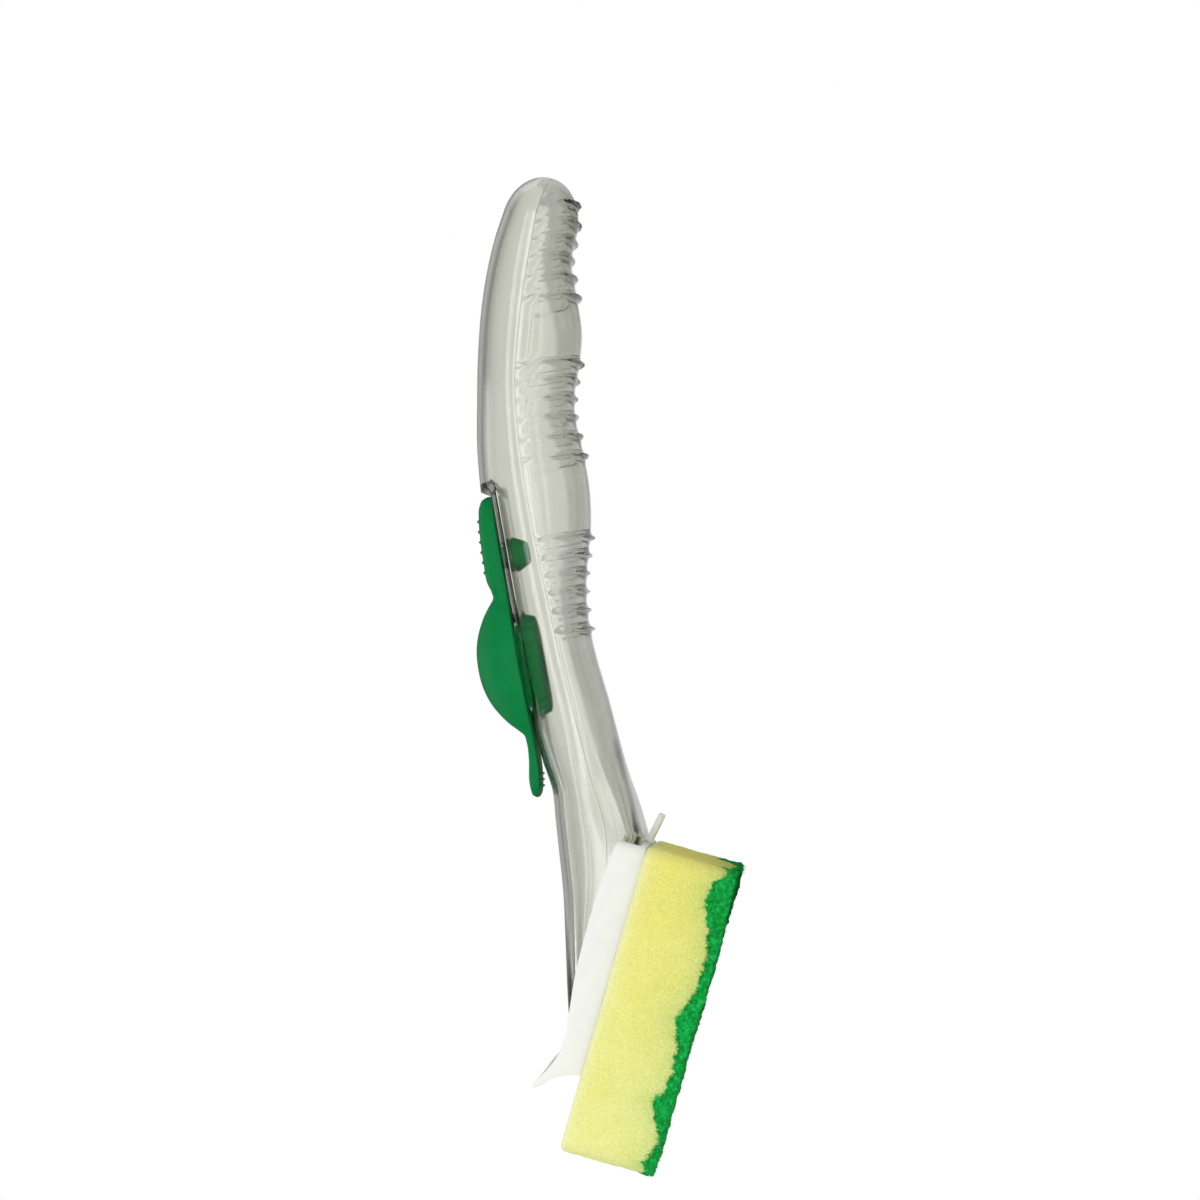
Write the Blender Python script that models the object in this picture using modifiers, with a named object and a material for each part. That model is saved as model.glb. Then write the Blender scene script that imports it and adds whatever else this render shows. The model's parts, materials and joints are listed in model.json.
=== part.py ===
"""Soap-dispensing scrubbing wand: clear hollow handle, soft green filler cap, slide-on sponge refill.

Everything is first modelled in the head's own frame: X runs from the scraper towards the tail,
Z stands square to the sponge, Y is the width, and the origin is on the sponge's top face at the
middle of its rear edge. The cap is modelled in a second frame that lies on the sloping land which
carries it. The whole wand is then tilted to the pose in which it lies on a worktop.
"""
import math

import bmesh
import bpy
from mathutils import Matrix, Vector

MM = 0.001


def scaled(points):
    """Turn a list of millimetre tuples into metres."""
    return [tuple(value * MM for value in point) for point in points]


# Clearances and walls
GAP = 0.3 * MM
SLIDE_CLEARANCE = 0.3 * MM
SHELL_WALL = 2.0 * MM

# Cutting solids stand this far past what they cut
CUT_REACH = 40.0 * MM

# Handle and head, side view: height of the back, of the grip side and of the seam along X
BACK_LINE = scaled([
    (-60.0, 5.6), (-49.0, 9.9), (-32.1, 15.8), (-19.0, 20.4), (-9.6, 24.3), (-0.2, 28.2),
    (6.4, 31.0), (14.0, 36.4), (22.0, 42.0), (34.0, 49.8), (50.0, 59.0), (66.0, 67.2),
    (82.0, 74.2), (91.6, 77.9), (106.6, 82.3), (117.0, 85.1), (134.2, 88.6), (144.0, 89.7),
    (152.3, 90.0), (158.8, 89.7)])
GRIP_LINE = scaled([
    (1.0, 2.3), (4.1, 4.1), (9.8, 7.6), (16.4, 12.0), (26.4, 17.9), (36.4, 23.9), (46.0, 30.0),
    (54.0, 34.4), (61.0, 37.3), (68.0, 39.3), (75.0, 40.6), (82.0, 42.0), (92.0, 45.4),
    (102.0, 50.4), (110.0, 54.8), (117.5, 56.9), (124.0, 57.6), (133.0, 59.4), (144.0, 64.4),
    (151.5, 67.8), (158.8, 68.6)])
SEAM_LINE = scaled([
    (-60.0, 4.2), (-49.0, 6.0), (-25.0, 8.0), (-10.0, 9.3), (0.0, 12.5), (15.0, 22.0),
    (35.0, 34.0), (55.0, 45.0), (75.0, 55.5), (94.0, 64.5), (112.0, 71.3), (130.0, 75.2),
    (158.8, 79.0)])
HALF_WIDTH_LINE = scaled([
    (-60.0, 20.6), (-52.0, 21.6), (-10.0, 21.6), (0.0, 20.4), (12.0, 17.6), (25.0, 15.8),
    (42.0, 15.3), (95.0, 15.3), (150.0, 14.5), (158.8, 13.9)])
SOLE_HEIGHT = 2.3 * MM
NOSE_X = -60.0 * MM
CAVITY_NOSE_X = -50.0 * MM
DOME_START_X = 158.8 * MM
DOME_LENGTH = 13.6 * MM
RING_POINTS = 28
DOME_RINGS = 6
HANDLE_ROUNDNESS_RATIO = 2.2
HEAD_TOP_ROUNDNESS_RATIO = 3.2
HEAD_SOLE_ROUNDNESS_RATIO = 9.0
HEAD_BLEND_X = (-4.0 * MM, 26.0 * MM)
STATION_STEP = 6.0 * MM

# Head flange that runs in the refill's rails
FLANGE_HALF_WIDTH = 22.8 * MM
FLANGE_THICKNESS = 2.3 * MM
FLANGE_LIFT = 0.1 * MM
FLANGE_FRONT_X = -57.0 * MM
FLANGE_REAR_X = -2.0 * MM

# Raised finger ridges across the grip side
RIDGE_GROUP_X = (167.0 * MM, 124.6 * MM, 78.2 * MM)
RIDGES_PER_GROUP = 6
RIDGE_PITCH_X = 5.0 * MM
RIDGE_RADIUS = 1.1 * MM
RIDGE_END_RATIO = 0.35
RIDGE_LEAN = math.radians(63.0)
RIDGE_SWEEP = math.radians(74.0)
RIDGE_POINTS = 12
RIDGE_BULGE = (1.25, 1.0, 0.85, 0.85, 1.0, 1.25)

# Sloping land on the back that carries the cap
LAND_ANGLE = math.radians(26.1)
LAND_ORIGIN = Vector((20.0 * MM, 0.0, 40.0 * MM))
LAND_TAIL_U = 69.6 * MM
LAND_FRONT_U = -12.0 * MM
LAND_STEP_HEIGHT = 12.0 * MM
LAND_STEP_RUN = 1.6 * MM

# Cap: strap, hinge, flap, stopper and thumb dome, in the land's frame
HINGE_U = 41.2 * MM
HINGE_V = 4.9 * MM
STRAP_TAIL_CLEARANCE = 1.0 * MM
STRAP_TAIL_U = LAND_TAIL_U - STRAP_TAIL_CLEARANCE
STRAP_LENGTH = STRAP_TAIL_U - HINGE_U
STRAP_TOP_RATIO = (0.0, 0.1, 0.32, 0.58, 0.78, 0.92, 1.0)
STRAP_TOP_HEIGHTS = (4.9 * MM, 5.9 * MM, 6.1 * MM, 5.8 * MM, 5.3 * MM, 4.4 * MM, 2.6 * MM)
STRAP_HALF_WIDTH = 8.2 * MM
STRAP_WIDTH_RATIO = ((0.0, 1.0), (0.78, 0.95), (0.93, 0.76), (1.0, 0.44))
STRAP_RIBS = 6
STRAP_RIB_FIRST_RATIO = 0.23
STRAP_RIB_PITCH_RATIO = 0.106
STRAP_RIB_REACH_RATIO = 0.62
STRAP_RIB_FALL = 0.25 * MM
STRAP_RIB_RADIUS = 0.5 * MM
ANCHOR_U = 51.4 * MM
ANCHOR_STEM_RADIUS = 3.5 * MM
ANCHOR_BARB_RADIUS = 4.9 * MM
ANCHOR_TIP_RADIUS = 2.8 * MM
ANCHOR_DEPTH = 6.8 * MM
STOPPER_FRONT_U = 4.6 * MM
STOPPER_REAR_U = 34.8 * MM
STOPPER_HALF_WIDTH = 8.0 * MM
STOPPER_DEPTH = 5.3 * MM
STOPPER_WALL = 1.5 * MM
STOPPER_DRAFT = 1.5 * MM
STOPPER_CLEARANCE = 0.45 * MM
BREATHER_LENGTH = 12.0 * MM
BREATHER_WIDTH = 4.0 * MM
FLAP_TOP_LINE = scaled([
    (-17.2, 3.2), (-15.8, 4.0), (-12.9, 4.1), (-6.3, 3.1), (-1.5, 2.8), (3.0, 2.9), (20.0, 3.0),
    (36.0, 3.6), (40.9, 4.7)])
FLAP_UNDER_LINE = scaled([
    (-17.2, 2.6), (-15.8, 1.7), (-12.9, 0.9), (-8.4, 0.4), (-3.0, 0.3), (40.9, 0.3)])
FLAP_HALF_WIDTH_LINE = scaled([
    (-17.2, 1.8), (-16.2, 4.2), (-14.0, 5.6), (-10.0, 6.2), (-4.0, 6.6), (2.0, 8.6), (9.0, 12.0),
    (18.0, 13.6), (27.0, 13.0), (35.0, 10.2), (40.9, 8.2)])
TAB_RIBS = 3
TAB_RIB_FIRST_U = -14.2 * MM
TAB_RIB_PITCH = 1.7 * MM
TAB_RIB_RADIUS = 0.45 * MM
TAB_RIB_REACH = 4.0 * MM
DOME_TOP_LINE = scaled([
    (1.0, 2.9), (2.2, 4.5), (4.0, 6.3), (6.4, 8.3), (9.5, 10.3), (14.5, 12.2), (21.5, 12.9),
    (27.2, 12.3), (31.5, 10.9), (35.0, 9.0), (37.6, 6.7), (39.6, 4.4)])
DOME_HALF_WIDTH_LINE = scaled([
    (1.0, 6.4), (4.0, 9.0), (9.0, 11.4), (18.0, 12.9), (27.0, 12.2), (35.0, 9.2), (39.6, 6.6)])
DOME_BASE_V = 1.6 * MM
DOME_ROUNDNESS_RATIO = 2.3
CROWN_FRONT_U = 7.0 * MM
CROWN_REAR_U = 34.0 * MM
CROWN_HALF_WIDTH = 9.0 * MM
CROWN_SKIRT_V = 6.2 * MM
CROWN_WELL_FLOOR_V = 2.9 * MM
CROWN_WALL = 1.8 * MM

# Slit valve in the head's sole
VALVE_X = -28.0 * MM
VALVE_PORT_RADIUS = 5.0 * MM
VALVE_FLANGE_RADIUS = 7.4 * MM
VALVE_FLANGE_THICKNESS = 1.0 * MM
VALVE_LIP_RADIUS = 2.6 * MM
RETAINER_HEIGHT = 2.0 * MM
RETAINER_BORE_RADIUS = 5.2 * MM
COLLAR_WALL = 1.2 * MM

# Refill base: floor, side walls, rails and scraper
BASE_FLOOR_UNDER = 0.3 * MM
BASE_FLOOR_THICKNESS = 1.7 * MM
BASE_WALL = 1.8 * MM
BASE_REAR_X = -0.4 * MM
BASE_FLOOR_FRONT_X = -65.4 * MM
BASE_INSIDE_FRONT_X = -61.6 * MM
BASE_WALL_TOP_LINE = scaled([
    (-72.0, 12.5), (-69.0, 11.1), (-66.2, 9.5), (-62.1, 7.9), (-57.2, 7.3), (-50.0, 8.1),
    (-40.5, 9.3), (-28.7, 9.8), (-12.6, 9.6), (-6.9, 9.2), (-0.4, 8.4)])
SCRAPER_UNDER_LINE = scaled([(1.0, -65.5), (3.6, -66.2), (7.5, -68.2), (10.4, -71.2)])
SCRAPER_HOLLOW = 3.0 * MM
BASE_CORNER_RADIUS = 3.0 * MM
RAIL_THICKNESS = 1.4 * MM
RAIL_FRONT_X = -56.0 * MM
BASE_WINDOW_RADIUS = 7.5 * MM

# Release tab behind the refill
TAB_LENGTH = 8.4 * MM
TAB_HALF_WIDTH = 5.0 * MM
TAB_THICKNESS = 1.7 * MM
TAB_DROOP = math.radians(10.0)
TAB_TIP_RATIO = 0.6
TAB_EDGE_RADIUS = 0.4 * MM
TAB_ROOT_X = 0.0 * MM

# Sponge and scour layer
SPONGE_LENGTH = 86.6 * MM
SPONGE_WIDTH = 57.0 * MM
FOAM_THICKNESS = 21.7 * MM
SCOUR_THICKNESS = 4.5 * MM
SCOUR_INSET = 0.6 * MM
SPONGE_CORNER_RADIUS = 5.0 * MM
FOAM_EDGE_RADIUS = 1.6 * MM
SCOUR_EDGE_RADIUS = 0.6 * MM

# Colours from the photograph: red, green, blue, roughness, metallic
CLEAR_PLASTIC = (0.58, 0.58, 0.52, 0.12, 0.0)
GREEN_ELASTOMER = (0.0, 0.23, 0.06, 0.45, 0.0)
WHITE_PLASTIC = (0.84, 0.85, 0.80, 0.40, 0.0)
SILICONE = (0.80, 0.82, 0.82, 0.35, 0.0)
YELLOW_FOAM = (0.84, 0.83, 0.27, 0.95, 0.0)
GREEN_SCOUR = (0.0, 0.33, 0.05, 0.95, 0.0)

SMOOTH_ANGLE = math.radians(35.0)
MERGE_DISTANCE = 0.00001


def smooth_line(points):
    """Return a smooth function through (position, value) pairs, straight past both ends."""
    xs = [point[0] for point in points]
    ys = [point[1] for point in points]
    secants = [(ys[i + 1] - ys[i]) / (xs[i + 1] - xs[i]) for i in range(len(xs) - 1)]
    slopes = [secants[0]]
    for i in range(1, len(xs) - 1):
        before = xs[i] - xs[i - 1]
        after = xs[i + 1] - xs[i]
        slopes.append((secants[i - 1] * after + secants[i] * before) / (before + after))
    slopes.append(secants[-1])

    def value(x):
        if x <= xs[0]:
            return ys[0] + slopes[0] * (x - xs[0])
        if x >= xs[-1]:
            return ys[-1] + slopes[-1] * (x - xs[-1])
        i = max(k for k in range(len(xs) - 1) if xs[k] <= x)
        span = xs[i + 1] - xs[i]
        t = (x - xs[i]) / span
        rise = 2 * t ** 3 - 3 * t ** 2 + 1
        fall = -2 * t ** 3 + 3 * t ** 2
        start_pull = (t ** 3 - 2 * t ** 2 + t) * span * slopes[i]
        end_pull = (t ** 3 - t ** 2) * span * slopes[i + 1]
        return rise * ys[i] + fall * ys[i + 1] + start_pull + end_pull

    return value


back_height = smooth_line(BACK_LINE)
grip_height = smooth_line(GRIP_LINE)
seam_height = smooth_line(SEAM_LINE)
half_width = smooth_line(HALF_WIDTH_LINE)


def slope_factor(line, x):
    """How much longer a wall measured upright is than the same wall measured square to its face."""
    step = 1.0 * MM
    slope = (line(x + step) - line(x - step)) / (2 * step)
    return math.sqrt(1 + slope * slope)


def lower_height(x):
    """Underside of the handle and head: the flat sole, then the grip side behind it."""
    return max(SOLE_HEIGHT, grip_height(x)) if x > GRIP_LINE[0][0] else SOLE_HEIGHT


def blend(x, start, end):
    """Ease from 0 at start to 1 at end."""
    t = min(1.0, max(0.0, (x - start) / (end - start)))
    return t * t * (3 - 2 * t)


def power(value, exponent):
    """Raise a signed number to a power and keep its sign."""
    return math.copysign(abs(value) ** exponent, value)


def body_section(x, inset):
    """Half-width, seam height, rise, drop and both roundness values of the handle at one station."""
    at = min(x, DOME_START_X)
    shrink = 1.0
    if x > DOME_START_X:
        reach = (x - DOME_START_X) / (DOME_LENGTH - inset)
        shrink = math.sqrt(max(0.0, 1 - reach * reach))
    seam = seam_height(at)
    rise = back_height(at) - inset * slope_factor(back_height, at) - seam
    drop = seam - lower_height(at) - inset * slope_factor(lower_height, at)
    handle = blend(x, *HEAD_BLEND_X)
    top_round = HEAD_TOP_ROUNDNESS_RATIO + (HANDLE_ROUNDNESS_RATIO - HEAD_TOP_ROUNDNESS_RATIO) * handle
    sole_round = HEAD_SOLE_ROUNDNESS_RATIO + (HANDLE_ROUNDNESS_RATIO - HEAD_SOLE_ROUNDNESS_RATIO) * handle
    return (half_width(at) - inset) * shrink, seam, rise * shrink, drop * shrink, top_round, sole_round


def body_ring(x, inset):
    """Closed ring of the handle's outline at one station."""
    width, seam, rise, drop, top_round, sole_round = body_section(x, inset)
    ring = []
    for k in range(RING_POINTS):
        angle = 2 * math.pi * k / RING_POINTS
        c = math.cos(angle)
        s = math.sin(angle)
        exponent = 2 / (top_round if s >= 0 else sole_round)
        reach = rise if s >= 0 else drop
        ring.append(Vector((x, width * power(c, exponent), seam + reach * power(s, exponent))))
    return ring


def body_stations(first_x, inset):
    """Stations along the body, close together on the tail's dome."""
    count = round((DOME_START_X - first_x) / STATION_STEP)
    stations = [first_x + (DOME_START_X - first_x) * k / count for k in range(count + 1)]
    for k in range(1, DOME_RINGS):
        angle = math.pi / 2 * k / DOME_RINGS
        stations.append(DOME_START_X + (DOME_LENGTH - inset) * math.sin(angle))
    return stations


def link(obj, collection):
    for owner in list(obj.users_collection):
        owner.objects.unlink(obj)
    collection.objects.link(obj)
    return obj


def object_from(bm, name, smooth=True):
    """Make an object of a bmesh, faces outwards and round faces shaded smooth."""
    bmesh.ops.recalc_face_normals(bm, faces=bm.faces)
    mesh = bpy.data.meshes.new(name)
    bm.to_mesh(mesh)
    bm.free()
    if smooth:
        mesh.shade_smooth()
        mesh.set_sharp_from_angle(angle=SMOOTH_ANGLE)
    obj = bpy.data.objects.new(name, mesh)
    bpy.context.scene.collection.objects.link(obj)
    return obj


def loft(name, rings, tip=None):
    """Skin a row of equal rings; the first end is capped flat, the last flat or drawn to a tip."""
    bm = bmesh.new()
    rows = [[bm.verts.new(point) for point in ring] for ring in rings]
    count = len(rows[0])
    for row, following in zip(rows, rows[1:]):
        for k in range(count):
            n = (k + 1) % count
            bm.faces.new((row[k], row[n], following[n], following[k]))
    bm.faces.new(rows[0])
    if tip is None:
        bm.faces.new(rows[-1])
    else:
        point = bm.verts.new(tip)
        for k in range(count):
            bm.faces.new((rows[-1][k], rows[-1][(k + 1) % count], point))
    return object_from(bm, name)


def mesh_of_curve(curve_object):
    """Replace a curve object by a welded mesh object of the same name and place."""
    bpy.context.view_layer.update()
    evaluated = curve_object.evaluated_get(bpy.context.evaluated_depsgraph_get())
    mesh = bpy.data.meshes.new_from_object(evaluated)
    name = curve_object.name
    place = curve_object.matrix_world.copy()
    bpy.data.objects.remove(curve_object)
    bm = bmesh.new()
    bm.from_mesh(mesh)
    bmesh.ops.remove_doubles(bm, verts=bm.verts, dist=MERGE_DISTANCE)
    obj = object_from(bm, name)
    bpy.data.meshes.remove(mesh)
    obj.matrix_world = place
    return obj


def plate(name, outline, low, high):
    """Solid with a flat outline in the XY plane between two heights."""
    curve = bpy.data.curves.new(name, "CURVE")
    curve.dimensions = "2D"
    curve.fill_mode = "BOTH"
    curve.extrude = (high - low) / 2
    spline = curve.splines.new("POLY")
    spline.points.add(len(outline) - 1)
    for point, (x, y) in zip(spline.points, outline):
        point.co = (x, y, 0, 1)
    spline.use_cyclic_u = True
    holder = bpy.data.objects.new(name, curve)
    bpy.context.scene.collection.objects.link(holder)
    obj = mesh_of_curve(holder)
    obj.data.transform(Matrix.Translation((0, 0, (low + high) / 2)))
    return obj


def side_plate(name, outline, half):
    """Solid with a flat outline in the XZ plane, as wide as twice the half-width."""
    obj = plate(name, outline, -half, half)
    obj.data.transform(Matrix.Rotation(math.pi / 2, 4, "X"))
    return obj


def arc(centre, radius, start, end, steps):
    """Points on an arc, angles in degrees."""
    points = []
    for k in range(steps + 1):
        angle = math.radians(start + (end - start) * k / steps)
        points.append((centre[0] + radius * math.cos(angle), centre[1] + radius * math.sin(angle)))
    return points


def rounded_rectangle(x_low, x_high, half, radius, steps=5):
    """Outline of a rectangle centred on the X axis, with round corners."""
    outline = arc((x_high - radius, half - radius), radius, 0, 90, steps)
    outline += arc((x_low + radius, half - radius), radius, 90, 180, steps)
    outline += arc((x_low + radius, -half + radius), radius, 180, 270, steps)
    outline += arc((x_high - radius, -half + radius), radius, 270, 360, steps)
    return outline


def oval(x_low, x_high, half, steps=10):
    """Outline with straight sides and two half-round ends."""
    outline = arc((x_high - half, 0.0), half, -90, 90, steps)
    outline += arc((x_low + half, 0.0), half, 90, 270, steps)
    return outline


def turned(name, profile, segments=28):
    """Turn a closed (radius, height) outline about the Z axis with a Screw modifier."""
    bm = bmesh.new()
    verts = [bm.verts.new((radius, 0, height)) for radius, height in profile]
    edges = zip(verts, verts[1:] + verts[:1]) if profile[-1][0] > 0 else zip(verts, verts[1:])
    for first, second in edges:
        bm.edges.new((first, second))
    mesh = bpy.data.meshes.new(name)
    bm.to_mesh(mesh)
    bm.free()
    obj = bpy.data.objects.new(name, mesh)
    bpy.context.scene.collection.objects.link(obj)
    screw = obj.modifiers.new("Turn", "SCREW")
    screw.steps = segments
    screw.render_steps = segments
    screw.use_merge_vertices = True
    screw.merge_threshold = MERGE_DISTANCE
    bpy.context.view_layer.update()
    evaluated = obj.evaluated_get(bpy.context.evaluated_depsgraph_get())
    solid = bpy.data.meshes.new_from_object(evaluated)
    bpy.data.objects.remove(obj)
    bm = bmesh.new()
    bm.from_mesh(solid)
    bmesh.ops.remove_doubles(bm, verts=bm.verts, dist=MERGE_DISTANCE)
    bpy.data.meshes.remove(solid)
    return object_from(bm, name)


def bead(name, points, radii):
    """Round bead along a few points, thinner where its radius says so."""
    curve = bpy.data.curves.new(name, "CURVE")
    curve.dimensions = "3D"
    curve.bevel_depth = 1.0
    curve.bevel_resolution = 1
    curve.use_fill_caps = True
    spline = curve.splines.new("POLY")
    spline.points.add(len(points) - 1)
    for knot, place, radius in zip(spline.points, points, radii):
        knot.co = (*place, 1)
        knot.radius = radius
    holder = bpy.data.objects.new(name, curve)
    bpy.context.scene.collection.objects.link(holder)
    return mesh_of_curve(holder)


def join(name, objects):
    """Put separate closed bodies into one object."""
    bm = bmesh.new()
    for obj in objects:
        bm.from_mesh(obj.data)
        bpy.data.objects.remove(obj)
    return object_from(bm, name)


def combine(target, tool, operation, cutters):
    """Boolean with a kept, hidden tool object."""
    link(tool, cutters)
    tool.hide_render = True
    tool.display_type = "WIRE"
    tool.parent = target.parent
    modifier = target.modifiers.new(tool.name, "BOOLEAN")
    modifier.operation = operation
    modifier.solver = "EXACT"
    modifier.object = tool
    return target


def bake(obj):
    """Apply an object's modifiers, so that it can be shaped further."""
    bpy.context.view_layer.update()
    evaluated = obj.evaluated_get(bpy.context.evaluated_depsgraph_get())
    mesh = bpy.data.meshes.new_from_object(evaluated)
    obj.modifiers.clear()
    obj.data = mesh
    return obj


def material(name, look):
    """Principled material from red, green, blue, roughness and metallic."""
    made = bpy.data.materials.new(name)
    made.use_nodes = True
    shader = made.node_tree.nodes["Principled BSDF"]
    shader.inputs["Base Color"].default_value = (look[0], look[1], look[2], 1.0)
    shader.inputs["Roughness"].default_value = look[3]
    shader.inputs["Metallic"].default_value = look[4]
    made.diffuse_color = (look[0], look[1], look[2], 1.0)
    return made


def finish(obj, look, parts):
    """Name the object's material and put it with the parts."""
    obj.data.materials.clear()
    obj.data.materials.append(material(obj.name, look))
    return link(obj, parts)


def set_origin(obj, point):
    """Move an object's origin to a point of its frame and leave its shape where it is."""
    obj.data.transform(Matrix.Translation(-Vector(point)))
    obj.location = point


def land_matrix():
    """Places the land's frame in the head's frame."""
    return Matrix.Translation(LAND_ORIGIN) @ Matrix.Rotation(-LAND_ANGLE, 4, "Y")


def to_head_frame(obj):
    """Move a solid drawn in the land's frame into the head's frame."""
    obj.data.transform(land_matrix())
    return obj


def land_cutter(name, depth):
    """Everything above the land, or above a surface that lies a wall below it."""
    tail = LAND_TAIL_U + depth
    outline = [
        (LAND_FRONT_U, -depth), (tail, -depth),
        (tail + LAND_STEP_RUN, LAND_STEP_HEIGHT), (LAND_FRONT_U, LAND_STEP_HEIGHT + LAND_TAIL_U / 2)]
    return to_head_frame(side_plate(name, outline, 2 * FLANGE_HALF_WIDTH))


def solid_body(name, first_x, inset):
    """Closed body of the handle and head, or of the space inside their wall."""
    rings = [body_ring(x, inset) for x in body_stations(first_x, inset)]
    tip = (DOME_START_X + DOME_LENGTH - inset, 0.0, seam_height(DOME_START_X))
    return loft(name, rings, tip)


def ridge_path(x_start, bulge):
    """Points of one finger ridge, square to the handle's axis and on its surface."""
    foot_x = x_start
    foot_z = body_section(foot_x, 0.0)[1] - body_section(foot_x, 0.0)[3]
    points = []
    for k in range(RIDGE_POINTS):
        angle = RIDGE_SWEEP * (2 * k / (RIDGE_POINTS - 1) - 1)
        x = foot_x
        for _ in range(12):
            width, seam, _rise, drop, _top, roundness = body_section(x, 0.0)
            z = seam - drop * abs(math.cos(angle)) ** (2 / roundness)
            x = 0.5 * x + 0.5 * (foot_x - (z - foot_z) / math.tan(RIDGE_LEAN))
        y = width * power(math.sin(angle), 2 / roundness)
        fade = math.cos(angle) ** 2
        outward = Vector((0.0, math.sin(angle), -math.cos(angle)))
        points.append(Vector((x, y, z)) + outward * RIDGE_RADIUS * (bulge - 0.8) * fade)
    return points


def finger_ridges():
    """All the raised beads that a hand feels on the grip side."""
    beads = []
    for first_x in RIDGE_GROUP_X:
        for k in range(RIDGES_PER_GROUP):
            path = ridge_path(first_x - k * RIDGE_PITCH_X, RIDGE_BULGE[k])
            radii = []
            for j in range(RIDGE_POINTS):
                side = abs(2 * j / (RIDGE_POINTS - 1) - 1)
                radii.append(RIDGE_RADIUS * (1 - (1 - RIDGE_END_RATIO) * side ** 2))
            beads.append(bead("ridge", path, radii))
    return join("finger_ridges", beads)


def seam_cutter(name, upper):
    """Region above or below the seam, short of it by half the gap."""
    first = NOSE_X - 5 * MM
    last = DOME_START_X + DOME_LENGTH + 5 * MM
    count = 36
    outline = []
    for k in range(count + 1):
        x = first + (last - first) * k / count
        level = seam_height(min(x, DOME_START_X))
        outline.append((x, level + GAP / 2 if upper else level - GAP / 2))
    far = BACK_LINE[-1][1] + CUT_REACH if upper else -CUT_REACH
    outline += [(last, far), (first, far)]
    return side_plate(name, outline, 2 * FLANGE_HALF_WIDTH)


def oval_prism(name, front, rear, half, low, high):
    """Upright solid of a straight-sided oval."""
    return plate(name, oval(front, rear, half), low, high)


def disc(name, x, radius, low, high, segments=32):
    """Round solid standing on the XY plane's normal."""
    bm = bmesh.new()
    bmesh.ops.create_cone(bm, cap_ends=True, segments=segments, radius1=radius, radius2=radius,
                          depth=high - low)
    bmesh.ops.translate(bm, verts=bm.verts, vec=(x, 0.0, (low + high) / 2))
    return object_from(bm, name)


def hollow_body(name, cutters):
    """Handle and head with their inside, before they are split into two shells."""
    body = solid_body(name, NOSE_X, 0.0)
    combine(body, land_cutter(name + "_land", 0.0), "DIFFERENCE", cutters)
    inside = solid_body(name + "_inside", CAVITY_NOSE_X, SHELL_WALL)
    combine(inside, land_cutter(name + "_inside_land", SHELL_WALL), "DIFFERENCE", cutters)
    bake(inside)
    combine(body, inside, "DIFFERENCE", cutters)
    return body


def build_back_shell(cutters):
    """Back half of the clear handle, with the land, the fill port and the anchor's hole."""
    shell = hollow_body("back_shell", cutters)
    combine(shell, seam_cutter("above_seam", True), "INTERSECT", cutters)
    port = oval_prism("fill_port", STOPPER_FRONT_U - STOPPER_CLEARANCE, STOPPER_REAR_U + STOPPER_CLEARANCE,
                      STOPPER_HALF_WIDTH + STOPPER_CLEARANCE, -3 * SHELL_WALL, 2 * SHELL_WALL)
    combine(shell, to_head_frame(port), "DIFFERENCE", cutters)
    hole = disc("anchor_hole", ANCHOR_U, ANCHOR_STEM_RADIUS + GAP, -3 * SHELL_WALL, 2 * SHELL_WALL)
    combine(shell, to_head_frame(hole), "DIFFERENCE", cutters)
    return bake(shell)


def build_grip_shell(cutters):
    """Grip half of the clear handle, with finger ridges, flange, outlet port and valve collar."""
    shell = hollow_body("grip_shell", cutters)
    combine(shell, seam_cutter("below_seam", False), "INTERSECT", cutters)
    bake(shell)
    for side in (-1, 1):
        edges = sorted((side * FLANGE_HALF_WIDTH, side * (half_width(VALVE_X) - SHELL_WALL / 2)))
        flange = plate("head_flange", [
            (FLANGE_FRONT_X, edges[0]), (FLANGE_REAR_X, edges[0]),
            (FLANGE_REAR_X, edges[1]), (FLANGE_FRONT_X, edges[1])],
            SOLE_HEIGHT + FLANGE_LIFT, SOLE_HEIGHT + FLANGE_THICKNESS)
        combine(shell, flange, "UNION", cutters)
    combine(shell, finger_ridges(), "UNION", cutters)
    bake(shell)
    floor = SOLE_HEIGHT + SHELL_WALL
    collar_low = floor - SHELL_WALL / 2
    collar_high = floor + VALVE_FLANGE_THICKNESS + RETAINER_HEIGHT + 2 * GAP
    inner = VALVE_FLANGE_RADIUS + GAP
    collar = turned("valve_collar", [
        (inner + COLLAR_WALL, collar_high), (inner + COLLAR_WALL, collar_low),
        (inner, collar_low), (inner, collar_high)])
    collar.data.transform(Matrix.Translation((VALVE_X, 0, 0)))
    combine(shell, collar, "UNION", cutters)
    port = disc("outlet_port", VALVE_X, VALVE_PORT_RADIUS, 0.0, floor + SHELL_WALL)
    combine(shell, port, "DIFFERENCE", cutters)
    return bake(shell)


def build_valve():
    """Soft slit valve: a flange that is clamped, and a domed lip that opens under pressure."""
    low = SOLE_HEIGHT + SHELL_WALL + GAP
    high = low + VALVE_FLANGE_THICKNESS
    lip = low - 1.2 * MM
    profile = [
        (0.0, low - 0.3 * MM), (VALVE_LIP_RADIUS, low - 0.1 * MM), (VALVE_LIP_RADIUS + 1.0 * MM, high),
        (VALVE_FLANGE_RADIUS, high), (VALVE_FLANGE_RADIUS, low), (VALVE_PORT_RADIUS - 0.6 * MM, low),
        (VALVE_LIP_RADIUS, lip), (0.0, lip - 0.2 * MM)]
    valve = turned("slit_valve", profile)
    valve.data.transform(Matrix.Translation((VALVE_X, 0, 0)))
    return valve


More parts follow.
